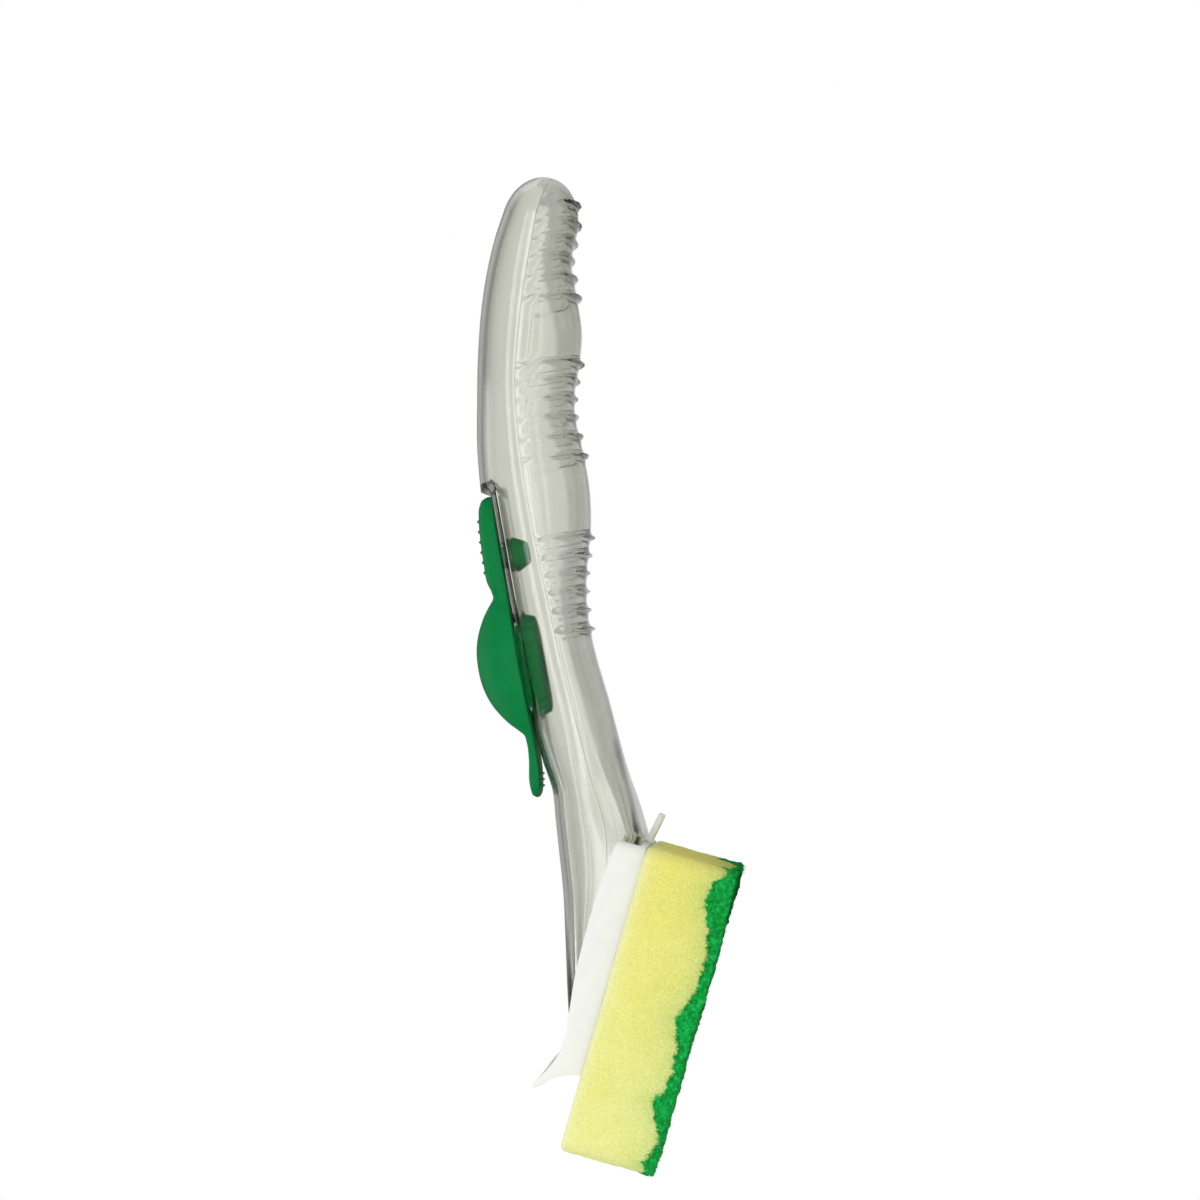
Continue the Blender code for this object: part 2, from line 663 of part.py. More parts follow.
def build_retainer():
    """Ring that is pressed into the collar and clamps the valve's flange."""
    low = SOLE_HEIGHT + SHELL_WALL + VALVE_FLANGE_THICKNESS + 2 * GAP
    high = low + RETAINER_HEIGHT
    chamfer = 0.4 * MM
    outer = VALVE_FLANGE_RADIUS
    ring = turned("valve_retainer", [
        (outer - chamfer, high), (outer, high - chamfer), (outer, low),
        (RETAINER_BORE_RADIUS, low), (RETAINER_BORE_RADIUS, high)])
    ring.data.transform(Matrix.Translation((VALVE_X, 0, 0)))
    return ring


def base_side_outline():
    """Refill base from the side: floor, swelling wall top and pointed scraper."""
    top = smooth_line(BASE_WALL_TOP_LINE)
    tip_x = BASE_WALL_TOP_LINE[0][0]
    outline = []
    count = 26
    for k in range(count + 1):
        x = BASE_REAR_X + (tip_x - BASE_REAR_X) * k / count
        outline.append((x, top(x)))
    outline += [(x, z) for z, x in reversed(SCRAPER_UNDER_LINE)]
    outline += [(BASE_FLOOR_FRONT_X, BASE_FLOOR_UNDER), (BASE_REAR_X, BASE_FLOOR_UNDER)]
    return outline


def base_plan_outline(half):
    """Refill base from above: round corners and a hollow scraper edge."""
    tip_x = BASE_WALL_TOP_LINE[0][0]
    radius = (half * half + SCRAPER_HOLLOW * SCRAPER_HOLLOW) / (2 * SCRAPER_HOLLOW)
    reach = math.degrees(math.asin((half - BASE_CORNER_RADIUS / 2) / radius))
    centre = (tip_x + SCRAPER_HOLLOW - radius, 0.0)
    front = arc(centre, radius, reach, -reach, 14)
    rear = arc((BASE_REAR_X - BASE_CORNER_RADIUS, -half + BASE_CORNER_RADIUS), BASE_CORNER_RADIUS, 270, 360, 5)
    rear += arc((BASE_REAR_X - BASE_CORNER_RADIUS, half - BASE_CORNER_RADIUS), BASE_CORNER_RADIUS, 0, 90, 5)
    side = tip_x + BASE_CORNER_RADIUS
    return front + [(side, -half)] + rear + [(side, half)]


def build_refill_base(cutters):
    """White carrier: floor, side walls with rails for the head's flange, and the scraper."""
    inside_half = FLANGE_HALF_WIDTH + SLIDE_CLEARANCE
    half = inside_half + BASE_WALL
    floor = BASE_FLOOR_UNDER + BASE_FLOOR_THICKNESS
    base = side_plate("refill_base", base_side_outline(), half)
    plan = plate("base_plan", base_plan_outline(half), -CUT_REACH, CUT_REACH)
    combine(base, plan, "INTERSECT", cutters)
    bake(base)
    well = plate("base_well", [
        (BASE_INSIDE_FRONT_X, -inside_half), (CUT_REACH, -inside_half),
        (CUT_REACH, inside_half), (BASE_INSIDE_FRONT_X, inside_half)], floor, CUT_REACH)
    combine(base, well, "DIFFERENCE", cutters)
    bake(base)
    rail_low = SOLE_HEIGHT + FLANGE_THICKNESS + SLIDE_CLEARANCE
    rail_inner = half_width(VALVE_X) + SLIDE_CLEARANCE
    for side in (-1, 1):
        edges = sorted((side * rail_inner, side * (inside_half + BASE_WALL / 2)))
        rail = plate("rail", [
            (RAIL_FRONT_X, edges[0]), (BASE_REAR_X - BASE_CORNER_RADIUS, edges[0]),
            (BASE_REAR_X - BASE_CORNER_RADIUS, edges[1]), (RAIL_FRONT_X, edges[1])],
            rail_low, rail_low + RAIL_THICKNESS)
        combine(base, rail, "UNION", cutters)
    window = disc("base_window", VALVE_X, BASE_WINDOW_RADIUS, -CUT_REACH, floor + BASE_FLOOR_THICKNESS)
    combine(base, window, "DIFFERENCE", cutters)
    return bake(base)


def build_release_tab():
    """Springy tongue behind the base: pressed down, it lets the refill slide off the head."""
    tip = TAB_LENGTH - TAB_HALF_WIDTH * TAB_TIP_RATIO
    outline = [(GAP, -TAB_HALF_WIDTH), (tip, -TAB_HALF_WIDTH)]
    outline += arc((tip, 0.0), TAB_HALF_WIDTH, -90, 90, 12)[1:]
    outline = [(min(x, TAB_LENGTH), y) for x, y in outline]
    outline.append((GAP, TAB_HALF_WIDTH))
    tab = plate("release_tab", outline, 0.0, TAB_THICKNESS)
    bevel = tab.modifiers.new("Edges", "BEVEL")
    bevel.width = TAB_EDGE_RADIUS
    bevel.segments = 2
    bevel.limit_method = "ANGLE"
    bevel.angle_limit = math.radians(50)
    bake(tab)
    tab.data.transform(Matrix.Rotation(TAB_DROOP, 4, "Y"))
    tab.data.transform(Matrix.Translation((TAB_ROOT_X, 0, BASE_FLOOR_UNDER)))
    return tab


def soft_block(name, inset, low, high, edge):
    """Cushion-like block with round corners and a soft edge."""
    outline = rounded_rectangle(-SPONGE_LENGTH + inset, -inset, SPONGE_WIDTH / 2 - inset, SPONGE_CORNER_RADIUS)
    block = plate(name, outline, low, high)
    bevel = block.modifiers.new("Edges", "BEVEL")
    bevel.width = edge
    bevel.segments = 3
    bevel.limit_method = "ANGLE"
    bevel.angle_limit = math.radians(60)
    return bake(block)


def half_ring(u, low, width, high, roundness, points):
    """Ring of a form with a flat underside and a rounded top, at one station of the cap."""
    ring = []
    for k in range(points + 1):
        angle = math.pi * k / points
        y = width * power(math.cos(angle), 2 / roundness)
        z = low + (high - low) * power(math.sin(angle), 2 / roundness)
        ring.append(Vector((u, y, z)))
    return ring


def stations(first, last, count):
    """Stations that lie closer together at both ends."""
    return [first + (last - first) * (1 - math.cos(math.pi * k / count)) / 2 for k in range(count + 1)]


def cap_loft(name, low_line, high_line, width_line, first, last, roundness, count=22, inset=0.0):
    """Loft along the land between an underside, a top and a half-width."""
    rings = []
    for u in stations(first, last, count):
        high = high_line(u) - inset
        rings.append(half_ring(u, low_line(u), width_line(u) - inset, high, roundness, 14))
    return loft(name, rings)


def dome_solid(name, inset):
    """The thumb dome as one body, or the hollow under it."""
    first = DOME_TOP_LINE[0][0] + 1.3 * inset
    last = DOME_TOP_LINE[-1][0] - 1.3 * inset
    return cap_loft(name, lambda u: DOME_BASE_V, smooth_line(DOME_TOP_LINE),
                    smooth_line(DOME_HALF_WIDTH_LINE), first, last, DOME_ROUNDNESS_RATIO, inset=inset)


def build_cap_strap(cutters):
    """Fixed end of the cap: ribbed strap with a barbed stub pushed through the handle's wall."""
    top = smooth_line([
        (HINGE_U + STRAP_LENGTH * ratio, height)
        for ratio, height in zip(STRAP_TOP_RATIO, STRAP_TOP_HEIGHTS)])
    first = HINGE_U + GAP / 2
    widths = smooth_line([
        (HINGE_U + STRAP_LENGTH * ratio, STRAP_HALF_WIDTH * width) for ratio, width in STRAP_WIDTH_RATIO])
    strap = cap_loft("cap_strap", lambda u: GAP, top, widths, first, STRAP_TAIL_U, 3.4)
    ribs = []
    for k in range(STRAP_RIBS):
        u = HINGE_U + STRAP_LENGTH * (STRAP_RIB_FIRST_RATIO + k * STRAP_RIB_PITCH_RATIO)
        reach = STRAP_HALF_WIDTH * STRAP_RIB_REACH_RATIO
        edge = top(u) - STRAP_RIB_FALL
        path = [(u, -reach, edge), (u, 0.0, top(u)), (u, reach, edge)]
        ribs.append(bead("strap_rib", path, [STRAP_RIB_RADIUS] * 3))
    combine(strap, join("strap_ribs", ribs), "UNION", cutters)
    barb_top = -SHELL_WALL - GAP
    stub = turned("anchor_stub", [
        (0.0, 1.5 * MM), (ANCHOR_STEM_RADIUS, 1.5 * MM), (ANCHOR_STEM_RADIUS, barb_top),
        (ANCHOR_BARB_RADIUS, barb_top), (ANCHOR_TIP_RADIUS, -ANCHOR_DEPTH), (0.0, -ANCHOR_DEPTH)], 24)
    stub.data.transform(Matrix.Translation((ANCHOR_U, 0, 0)))
    combine(strap, stub, "UNION", cutters)
    return bake(strap)


def stopper_solid(name, inset, low, high, draft):
    """Straight-sided oval plug that narrows towards its lower end."""
    rings = []
    for z, narrowing in ((high, 0.0), (0.0, 0.0), (low, draft)):
        shrink = inset + narrowing
        outline = oval(STOPPER_FRONT_U + shrink, STOPPER_REAR_U - shrink, STOPPER_HALF_WIDTH - shrink)
        rings.append([Vector((x, y, z)) for x, y in outline])
    return loft(name, rings)


def build_cap_flap(cutters):
    """Hinged lid: leaf-shaped plate, dome shoulder, hollow stopper and ribbed pull tab."""
    last = HINGE_U - GAP / 2
    flap = cap_loft("cap_flap", smooth_line(FLAP_UNDER_LINE), smooth_line(FLAP_TOP_LINE),
                    smooth_line(FLAP_HALF_WIDTH_LINE), FLAP_TOP_LINE[0][0], last, 4.0, count=24)
    combine(flap, dome_solid("dome_outside", 0.0), "UNION", cutters)
    plug = stopper_solid("stopper_outside", 0.0, -STOPPER_DEPTH, 1.5 * MM, STOPPER_DRAFT)
    combine(flap, plug, "UNION", cutters)
    bake(flap)
    well = oval_prism("crown_well", CROWN_FRONT_U - GAP, CROWN_REAR_U + GAP, CROWN_HALF_WIDTH + GAP,
                      CROWN_WELL_FLOOR_V, CUT_REACH)
    combine(flap, well, "DIFFERENCE", cutters)
    hollow = stopper_solid("stopper_inside", STOPPER_WALL, -STOPPER_DEPTH + STOPPER_WALL, CUT_REACH,
                           STOPPER_DRAFT)
    combine(flap, hollow, "DIFFERENCE", cutters)
    middle = (STOPPER_FRONT_U + STOPPER_REAR_U) / 2
    breather = oval_prism("breather", middle - BREATHER_LENGTH / 2, middle + BREATHER_LENGTH / 2,
                          BREATHER_WIDTH / 2, -CUT_REACH, 0.0)
    combine(flap, breather, "DIFFERENCE", cutters)
    under = smooth_line(FLAP_UNDER_LINE)
    ribs = []
    for k in range(TAB_RIBS):
        u = TAB_RIB_FIRST_U + k * TAB_RIB_PITCH
        path = [(u, side * TAB_RIB_REACH, under(u)) for side in (-1, 0, 1)]
        ribs.append(bead("tab_rib", path, [TAB_RIB_RADIUS] * 3))
    combine(flap, join("tab_ribs", ribs), "UNION", cutters)
    return bake(flap)


def build_thumb_crown(cutters):
    """Top of the dome: pressed by the thumb, it sinks into the shoulder and pumps."""
    crown = dome_solid("thumb_crown", 0.0)
    prism = oval_prism("crown_outline", CROWN_FRONT_U, CROWN_REAR_U, CROWN_HALF_WIDTH, CROWN_SKIRT_V,
                       CUT_REACH)
    combine(crown, prism, "INTERSECT", cutters)
    combine(crown, dome_solid("dome_inside", CROWN_WALL), "DIFFERENCE", cutters)
    return bake(crown)


def rest_tilt():
    """Angle between the sole and the worktop, and the height that lifts the wand onto it."""
    edge = Vector((-SCOUR_INSET, 0.0, -(FOAM_THICKNESS + GAP + SCOUR_THICKNESS)))
    best = None
    for ring_x in body_stations(NOSE_X, 0.0):
        for point in body_ring(ring_x, 0.0):
            if point.x > DOME_START_X / 2:
                angle = math.atan2(point.z - edge.z, point.x - edge.x)
                best = angle if best is None else min(best, angle)
    for path_x in RIDGE_GROUP_X[:1]:
        for point in ridge_path(path_x, RIDGE_BULGE[0]):
            low = point - Vector((-math.sin(best), 0, math.cos(best))) * RIDGE_RADIUS
            best = min(best, math.atan2(low.z - edge.z, low.x - edge.x))
    return best, edge


def main():
    for obj in list(bpy.data.objects):
        bpy.data.objects.remove(obj)
    parts = bpy.data.collections.new("scrubbing_wand")
    cutters = bpy.data.collections.new("cutters")
    bpy.context.scene.collection.children.link(parts)
    bpy.context.scene.collection.children.link(cutters)

    tilt, edge = rest_tilt()
    wand_frame = bpy.data.objects.new("wand_frame", None)
    parts.objects.link(wand_frame)
    land_frame = bpy.data.objects.new("land_frame", None)
    parts.objects.link(land_frame)

    head_pieces = [
        (build_back_shell(cutters), CLEAR_PLASTIC), (build_grip_shell(cutters), CLEAR_PLASTIC),
        (build_valve(), SILICONE), (build_retainer(), WHITE_PLASTIC),
        (build_refill_base(cutters), WHITE_PLASTIC), (build_release_tab(), WHITE_PLASTIC),
        (soft_block("sponge_foam", 0.0, -FOAM_THICKNESS, 0.0, FOAM_EDGE_RADIUS), YELLOW_FOAM),
        (soft_block("scour_layer", SCOUR_INSET, -FOAM_THICKNESS - GAP - SCOUR_THICKNESS,
                    -FOAM_THICKNESS - GAP, SCOUR_EDGE_RADIUS), GREEN_SCOUR)]
    cap_pieces = [
        (build_cap_strap(cutters), GREEN_ELASTOMER), (build_cap_flap(cutters), GREEN_ELASTOMER),
        (build_thumb_crown(cutters), GREEN_ELASTOMER)]
    for obj, look in head_pieces:
        finish(obj, look, parts)
        obj.parent = wand_frame
    for obj, look in cap_pieces:
        finish(obj, look, parts)
        obj.parent = land_frame
    set_origin(bpy.data.objects["release_tab"], (TAB_ROOT_X, 0.0, BASE_FLOOR_UNDER + TAB_THICKNESS / 2))
    set_origin(bpy.data.objects["cap_flap"], (HINGE_U, 0.0, HINGE_V))
    set_origin(bpy.data.objects["thumb_crown"], ((CROWN_FRONT_U + CROWN_REAR_U) / 2, 0.0, CROWN_SKIRT_V))
    for obj in list(cutters.objects):
        bpy.data.objects.remove(obj)
    bpy.data.collections.remove(cutters)

    land_frame.parent = wand_frame
    land_frame.matrix_local = land_matrix()
    wand_frame.rotation_euler = (0.0, tilt, 0.0)
    bpy.context.view_layer.update()
    rest_on_worktop(wand_frame, parts)


def rest_on_worktop(wand_frame, parts):
    """Put the lowest point on Z = 0 and the middle of the wand's box over the origin."""
    corners = []
    for obj in parts.objects:
        if obj.type == "MESH":
            corners += [obj.matrix_world @ vertex.co for vertex in obj.data.vertices]
    low = min(point.z for point in corners)
    middle = (min(point.x for point in corners) + max(point.x for point in corners)) / 2
    wand_frame.location = (-middle, 0.0, -low)
    bpy.context.view_layer.update()


main()
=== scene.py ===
"""Looks of the scrubbing wand: clear hollow handle, green cap, white refill base, foam and scour layer.

Pieces are drawn in the head's frame (X from the scraper towards the tail, Z square to the sponge, origin on
the sponge's top face at its rear edge) or in the frame of the sloping land that carries the cap, and are then
carried into the world frame by HEAD or LAND.
"""
import json
import math

import bmesh
import bpy
import numpy as np
from mathutils import Matrix, Vector


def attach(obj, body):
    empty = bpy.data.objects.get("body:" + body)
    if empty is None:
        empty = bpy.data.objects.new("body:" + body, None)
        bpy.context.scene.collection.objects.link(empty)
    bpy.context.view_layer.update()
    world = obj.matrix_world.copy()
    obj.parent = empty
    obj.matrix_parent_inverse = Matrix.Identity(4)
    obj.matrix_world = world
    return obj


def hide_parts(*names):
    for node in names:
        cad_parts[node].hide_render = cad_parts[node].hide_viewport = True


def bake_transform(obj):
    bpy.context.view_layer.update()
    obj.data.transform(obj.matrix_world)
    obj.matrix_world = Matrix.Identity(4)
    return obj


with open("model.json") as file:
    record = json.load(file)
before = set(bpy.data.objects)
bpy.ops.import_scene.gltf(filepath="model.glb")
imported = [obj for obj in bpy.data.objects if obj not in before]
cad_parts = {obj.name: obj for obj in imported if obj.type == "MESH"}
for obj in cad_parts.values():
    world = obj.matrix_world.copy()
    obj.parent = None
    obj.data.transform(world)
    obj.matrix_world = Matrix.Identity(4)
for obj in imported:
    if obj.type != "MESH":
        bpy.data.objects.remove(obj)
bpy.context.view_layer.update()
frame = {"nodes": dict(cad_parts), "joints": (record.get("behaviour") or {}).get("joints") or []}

MM = 0.001
GAP = 0.3 * MM


def joint(name):
    """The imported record's joint of that name."""
    return next(item for item in frame["joints"] if item["name"] == name)


def scaled(points):
    """Turn millimetre tuples into metres."""
    return [tuple(value * MM for value in point) for point in points]


# Frames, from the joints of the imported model
TAB_PIVOT = Vector((0.0, 0.0, 1.15 * MM))
slide_axis = joint("refill_slide")["axis"]
TILT = math.atan2(slide_axis[2], -slide_axis[0])
TURN = Matrix.Rotation(TILT, 4, "Y")
HEAD = Matrix.Translation(Vector(joint("tab_press")["pos_m"]) - TURN @ TAB_PIVOT) @ TURN
LAND_ANGLE = math.radians(26.1)
LAND_ORIGIN = Vector((20.0 * MM, 0.0, 40.0 * MM))
LAND_IN_HEAD = Matrix.Translation(LAND_ORIGIN) @ Matrix.Rotation(-LAND_ANGLE, 4, "Y")
LAND = HEAD @ LAND_IN_HEAD

# Handle and head, side view
BACK_LINE = scaled([
    (-60, 5.6), (-49, 9.9), (-32.1, 15.8), (-19, 20.4), (-9.6, 24.3), (-0.2, 28.2),
    (6.4, 31), (14, 36.4), (22, 42), (34, 49.8), (50, 59), (66, 67.2),
    (82, 74.2), (91.6, 77.9), (106.6, 82.3), (117, 85.1), (134.2, 88.6), (144, 89.7),
    (152.3, 90), (158.8, 89.7)])
GRIP_LINE = scaled([
    (1, 2.3), (4.1, 4.1), (9.8, 7.6), (16.4, 12), (26.4, 17.9), (36.4, 23.9), (46, 30),
    (54, 34.4), (61, 37.3), (68, 39.3), (75, 40.6), (82, 42), (92, 45.4),
    (102, 50.4), (110, 54.8), (117.5, 56.9), (124, 57.6), (133, 59.4), (144, 64.4),
    (151.5, 67.8), (158.8, 68.6)])
SEAM_LINE = scaled([
    (-60, 4.2), (-49, 6), (-25, 8), (-10, 9.3), (0, 12.5), (15, 22),
    (35, 34), (55, 45), (75, 55.5), (94, 64.5), (112, 71.3), (130, 75.2),
    (158.8, 79)])
HALF_WIDTH_LINE = scaled([
    (-60, 20.6), (-52, 21.6), (-10, 21.6), (0, 20.4), (12, 17.6), (25, 15.8),
    (42, 15.3), (95, 15.3), (150, 14.5), (158.8, 13.9)])
SHELL_WALL = 2.0 * MM
SHELL_GAP = 0.04 * MM
SOLE_HEIGHT = 2.3 * MM
NOSE_X = -60.0 * MM
CAVITY_NOSE_X = -50.0 * MM
DOME_START_X = 158.8 * MM
DOME_LENGTH = 13.6 * MM
HANDLE_ROUNDNESS = 2.2
HEAD_TOP_ROUNDNESS = 3.2
HEAD_SOLE_ROUNDNESS = 9.0
HEAD_BLEND_X = (-4.0 * MM, 26.0 * MM)
FLANGE_REACH = 1.2 * MM
FLANGE_TOP = 4.6 * MM
FLANGE_X = (-57.0 * MM, -2.0 * MM)
LAND_FRONT_U = -12.0 * MM
LAND_TAIL_U = 69.6 * MM
LAND_STEP_RUN = 1.1 * MM
LAND_STEP_FOOT = 0.12 * MM
LAND_EDGE = 0.25 * MM
FLANGE_EDGE = 0.1 * MM
FLANGE_FADE = 0.5 * MM
FLANGE_SIDE_Y = (17.0 * MM, 20.0 * MM)

# Grids of the shells
ROW_SPACING = 0.8 * MM
RIDGE_ROW_SPACING = 0.24 * MM
ROW_POINTS = 420
SETTLE_STEPS = 40
TIP_ROWS = 40
BACK_COLUMNS = (26, 36)
GRIP_COLUMNS = (24, 56)
SIDE_SHARE = 0.25
LEAN_START_X = (-6.0 * MM, 34.0 * MM)
LEAN_END_X = (150.0 * MM, 169.0 * MM)

# Finger ridges
RIDGE_GROUP_X = (167.0 * MM, 124.6 * MM, 78.2 * MM)
RIDGES_PER_GROUP = 6
RIDGE_PITCH_X = 5.0 * MM
RIDGE_RADIUS = 1.1 * MM
RIDGE_LEAN = math.radians(63.0)
RIDGE_BULGE = (1.25, 1.0, 0.85, 0.85, 1.0, 1.25)
RIDGE_CREST = 0.36 * MM
RIDGE_SPREAD = 2.3 * MM
RIDGE_ZONE = 2.5 * MM
RIDGE_FIN_SHARE = 0.6
RIDGE_FIN_DEPTH = 1.06
RIDGE_SCALLOP_DEPTH = (-0.04, 0.22)

# Outlet
VALVE_X = -28.0 * MM
VALVE_PORT_RADIUS = 5.0 * MM
COLLAR_INNER = 7.7 * MM
COLLAR_OUTER = 8.9 * MM
COLLAR_TOP = 8.2 * MM
COLLAR_EDGE = 0.2 * MM
COLLAR_FOOT_GAP = 0.05 * MM


def line(points):
    """Smooth function through (position, value) pairs that takes arrays, straight past both ends."""
    xs = np.array([point[0] for point in points])
    ys = np.array([point[1] for point in points])
    secant = np.diff(ys) / np.diff(xs)
    step = np.diff(xs)
    slope = np.empty(len(xs))
    slope[0] = secant[0]
    slope[-1] = secant[-1]
    slope[1:-1] = (secant[:-1] * step[1:] + secant[1:] * step[:-1]) / (step[:-1] + step[1:])

    def value(x):
        x = np.asarray(x, float)
        i = np.clip(np.searchsorted(xs, x, side="right") - 1, 0, len(xs) - 2)
        span = step[i]
        t = np.clip((x - xs[i]) / span, 0, 1)
        inside = (
            (2 * t ** 3 - 3 * t ** 2 + 1) * ys[i] + (3 * t ** 2 - 2 * t ** 3) * ys[i + 1]
            + (t ** 3 - 2 * t ** 2 + t) * span * slope[i] + (t ** 3 - t ** 2) * span * slope[i + 1])
        before = np.minimum(x - xs[0], 0) * slope[0]
        after = np.maximum(x - xs[-1], 0) * slope[-1]
        return inside + before + after

    return value


back_height = line(BACK_LINE)
grip_line_height = line(GRIP_LINE)
seam_height = line(SEAM_LINE)
half_width = line(HALF_WIDTH_LINE)


def ease(x, start, end):
    """Ease from 0 at start to 1 at end."""
    t = np.clip((x - start) / (end - start), 0, 1)
    return t * t * (3 - 2 * t)


def grip_height(x):
    """Underside of the handle and head: the flat sole, then the grip side behind it."""
    return np.where(x > GRIP_LINE[0][0], np.maximum(SOLE_HEIGHT, grip_line_height(x)), SOLE_HEIGHT)


def wall_factor(height, x):
    """How much longer a wall measured upright is than the same wall measured square to its face."""
    slope = (height(x + MM) - height(x - MM)) / (2 * MM)
    return np.sqrt(1 + slope * slope)


def section(x, inset, upper):
    """Half-width, seam height, reach up or down, and roundness of the handle's outline at x."""
    at = np.minimum(x, DOME_START_X)
    ratio = np.clip((x - DOME_START_X) / (DOME_LENGTH - inset), 0, 1)
    shrink = np.sqrt(np.maximum(0.0, 1 - ratio * ratio))
    seam = seam_height(at)
    handle = ease(x, *HEAD_BLEND_X)
    if upper:
        reach = back_height(at) - inset * wall_factor(back_height, at) - seam
        roundness = HEAD_TOP_ROUNDNESS + (HANDLE_ROUNDNESS - HEAD_TOP_ROUNDNESS) * handle
    else:
        reach = seam - grip_height(at) - inset * wall_factor(grip_height, at)
        roundness = HEAD_SOLE_ROUNDNESS + (HANDLE_ROUNDNESS - HEAD_SOLE_ROUNDNESS) * handle
    return (half_width(at) - inset) * shrink, seam, reach * shrink, roundness


def lean(x):
    """Tangent of the lean of the grid's rows: upright at both ends, square to the handle between."""
    share = ease(x, *LEAN_START_X) * (1 - ease(x, *LEAN_END_X))
    return np.tan(LAND_ANGLE * share)


def raw_rows(x_foot, inset, upper):
    """Points of leaning rows on the handle's surface, from one seam over the crest to the other."""
    angle = np.pi * (np.arange(ROW_POINTS + 1) / ROW_POINTS)
    foot = x_foot[:, None]
    tangent = lean(foot)
    foot_z = section(foot, inset, upper)[1]
    cosine = np.cos(angle)[None, :]
    sine = np.abs(np.sin(angle))[None, :]
    limit = DOME_START_X + DOME_LENGTH - inset - 1e-7

    def rounded(x):
        width, seam, reach, roundness = section(x, inset, upper)
        rise = reach * sine ** (2 / roundness)
        y = width * np.sign(cosine) * np.abs(cosine) ** (2 / roundness)
        return y, seam + rise if upper else seam - rise

    x = np.repeat(foot, ROW_POINTS + 1, axis=1)
    for _ in range(SETTLE_STEPS):
        z = rounded(x)[1]
        x = np.minimum(0.5 * x + 0.5 * (foot - (z - foot_z) * tangent), limit)
    y, z = rounded(x)
    return np.stack([x, y, z], axis=2)


def to_land(points):
    """Distance along the land and height over it."""
    dx = points[..., 0] - LAND_ORIGIN.x
    dz = points[..., 2] - LAND_ORIGIN.z
    c, s = math.cos(LAND_ANGLE), math.sin(LAND_ANGLE)
    return dx * c + dz * s, dz * c - dx * s


def cut_land(rows, depth, tail):
    """Press everything above the land down onto it, with a small round at the edge."""
    u, v = to_land(rows)
    over = v + depth
    pressed = 0.5 * (over - np.sqrt(over * over + (2 * LAND_EDGE) ** 2))
    share = 1 - ease(u, tail - LAND_STEP_RUN / 2, tail + LAND_STEP_RUN / 2)
    share = share * (u > LAND_FRONT_U) * (over > -4 * LAND_EDGE)
    drop = share * (over - pressed)
    out = rows.copy()
    out[..., 0] += math.sin(LAND_ANGLE) * drop
    out[..., 2] -= math.cos(LAND_ANGLE) * drop
    return out, over


def run(points):
    """Distance of each point of a row from its start."""
    steps = np.linalg.norm(np.diff(points, axis=0), axis=1)
    return np.concatenate([[0.0], np.cumsum(steps)])


def resampled(row, split, side_count, top_count):
    """Even points along a row, with one exactly at each split length from both ends."""
    length = run(row)
    total = length[-1]
    at = np.concatenate([
        np.linspace(0, split * total, side_count + 1)[:-1],
        np.linspace(split * total, (1 - split) * total, top_count + 1)[:-1],
        np.linspace((1 - split) * total, total, side_count + 1)])
    return np.stack([np.interp(at, length, row[:, k]) for k in range(3)], axis=1)


def surface(x_foot, inset, upper, side_count, top_count):
    """Grid of points of one half of the handle's outer or inner surface."""
    rows = raw_rows(x_foot, inset, upper)
    splits = np.full(len(x_foot), SIDE_SHARE)
    if upper:
        tail = LAND_TAIL_U + inset
        rows, over = cut_land(rows, inset, tail)
        u = to_land(rows)[0]
        for i, row in enumerate(rows):
            flat = (over[i] > 0) & (u[i] <= tail) & (u[i] > LAND_FRONT_U)
            if flat.any() and not flat.all():
                length = run(row)
                splits[i] = min(0.46, max(0.1, length[np.argmax(flat)] / length[-1]))
        known = np.flatnonzero(splits != SIDE_SHARE)
        if len(known):
            splits[:known[0]] = splits[known[0]]
            splits[known[-1] + 1:] = splits[known[-1]]
    return np.stack([resampled(row, split, side_count, top_count) for row, split in zip(rows, splits)])


def grid_normals(grid):
    """Unit normals of a grid, pointing away from the handle's axis."""
    along = np.gradient(grid, axis=0)
    across = np.gradient(grid, axis=1)
    normal = np.cross(along, across)
    normal /= np.maximum(np.linalg.norm(normal, axis=2, keepdims=True), 1e-12)
    centre = grid.mean(axis=1, keepdims=True)
    flip = np.sign(((grid - centre) * normal).sum(axis=2, keepdims=True))
    return normal * np.where(flip == 0, 1, flip)


def ridge_lift(grid):
    """How far the finger ridges raise each point of the grip side: scallops that meet in crests."""
    x, z = grid[..., 0], grid[..., 2]
    at = np.minimum(x, DOME_START_X)
    seam = seam_height(at)
    depth = np.clip((seam - z) / np.maximum(seam - grip_height(at), 1e-6), 0, 1.5)
    lift = np.zeros(x.shape)
    slope = 1 / math.tan(RIDGE_LEAN)
    for first_x in RIDGE_GROUP_X:
        for k in range(RIDGES_PER_GROUP):
            foot_x = first_x - k * RIDGE_PITCH_X
            _w, foot_seam, drop, _r = section(np.array(foot_x), 0.0, False)
            foot_z = foot_seam - drop
            distance = ((x - foot_x) + (z - foot_z) * slope) * math.sin(RIDGE_LEAN)
            height = RIDGE_RADIUS * (0.2 + RIDGE_BULGE[k])
            fin = 1 / (1 + (distance / RIDGE_CREST) ** 2) ** 1.5
            scallop = np.clip(1 - np.abs(distance) / RIDGE_SPREAD, 0, 1) ** 2
            fin_start = -0.1 if k == 0 else 0.3
            fin = RIDGE_FIN_SHARE * fin * ease(depth, fin_start, RIDGE_FIN_DEPTH) ** 1.3
            scallop = (1 - RIDGE_FIN_SHARE) * scallop * ease(depth, *RIDGE_SCALLOP_DEPTH)
            lift = np.maximum(lift, height * (fin + scallop))
    return lift


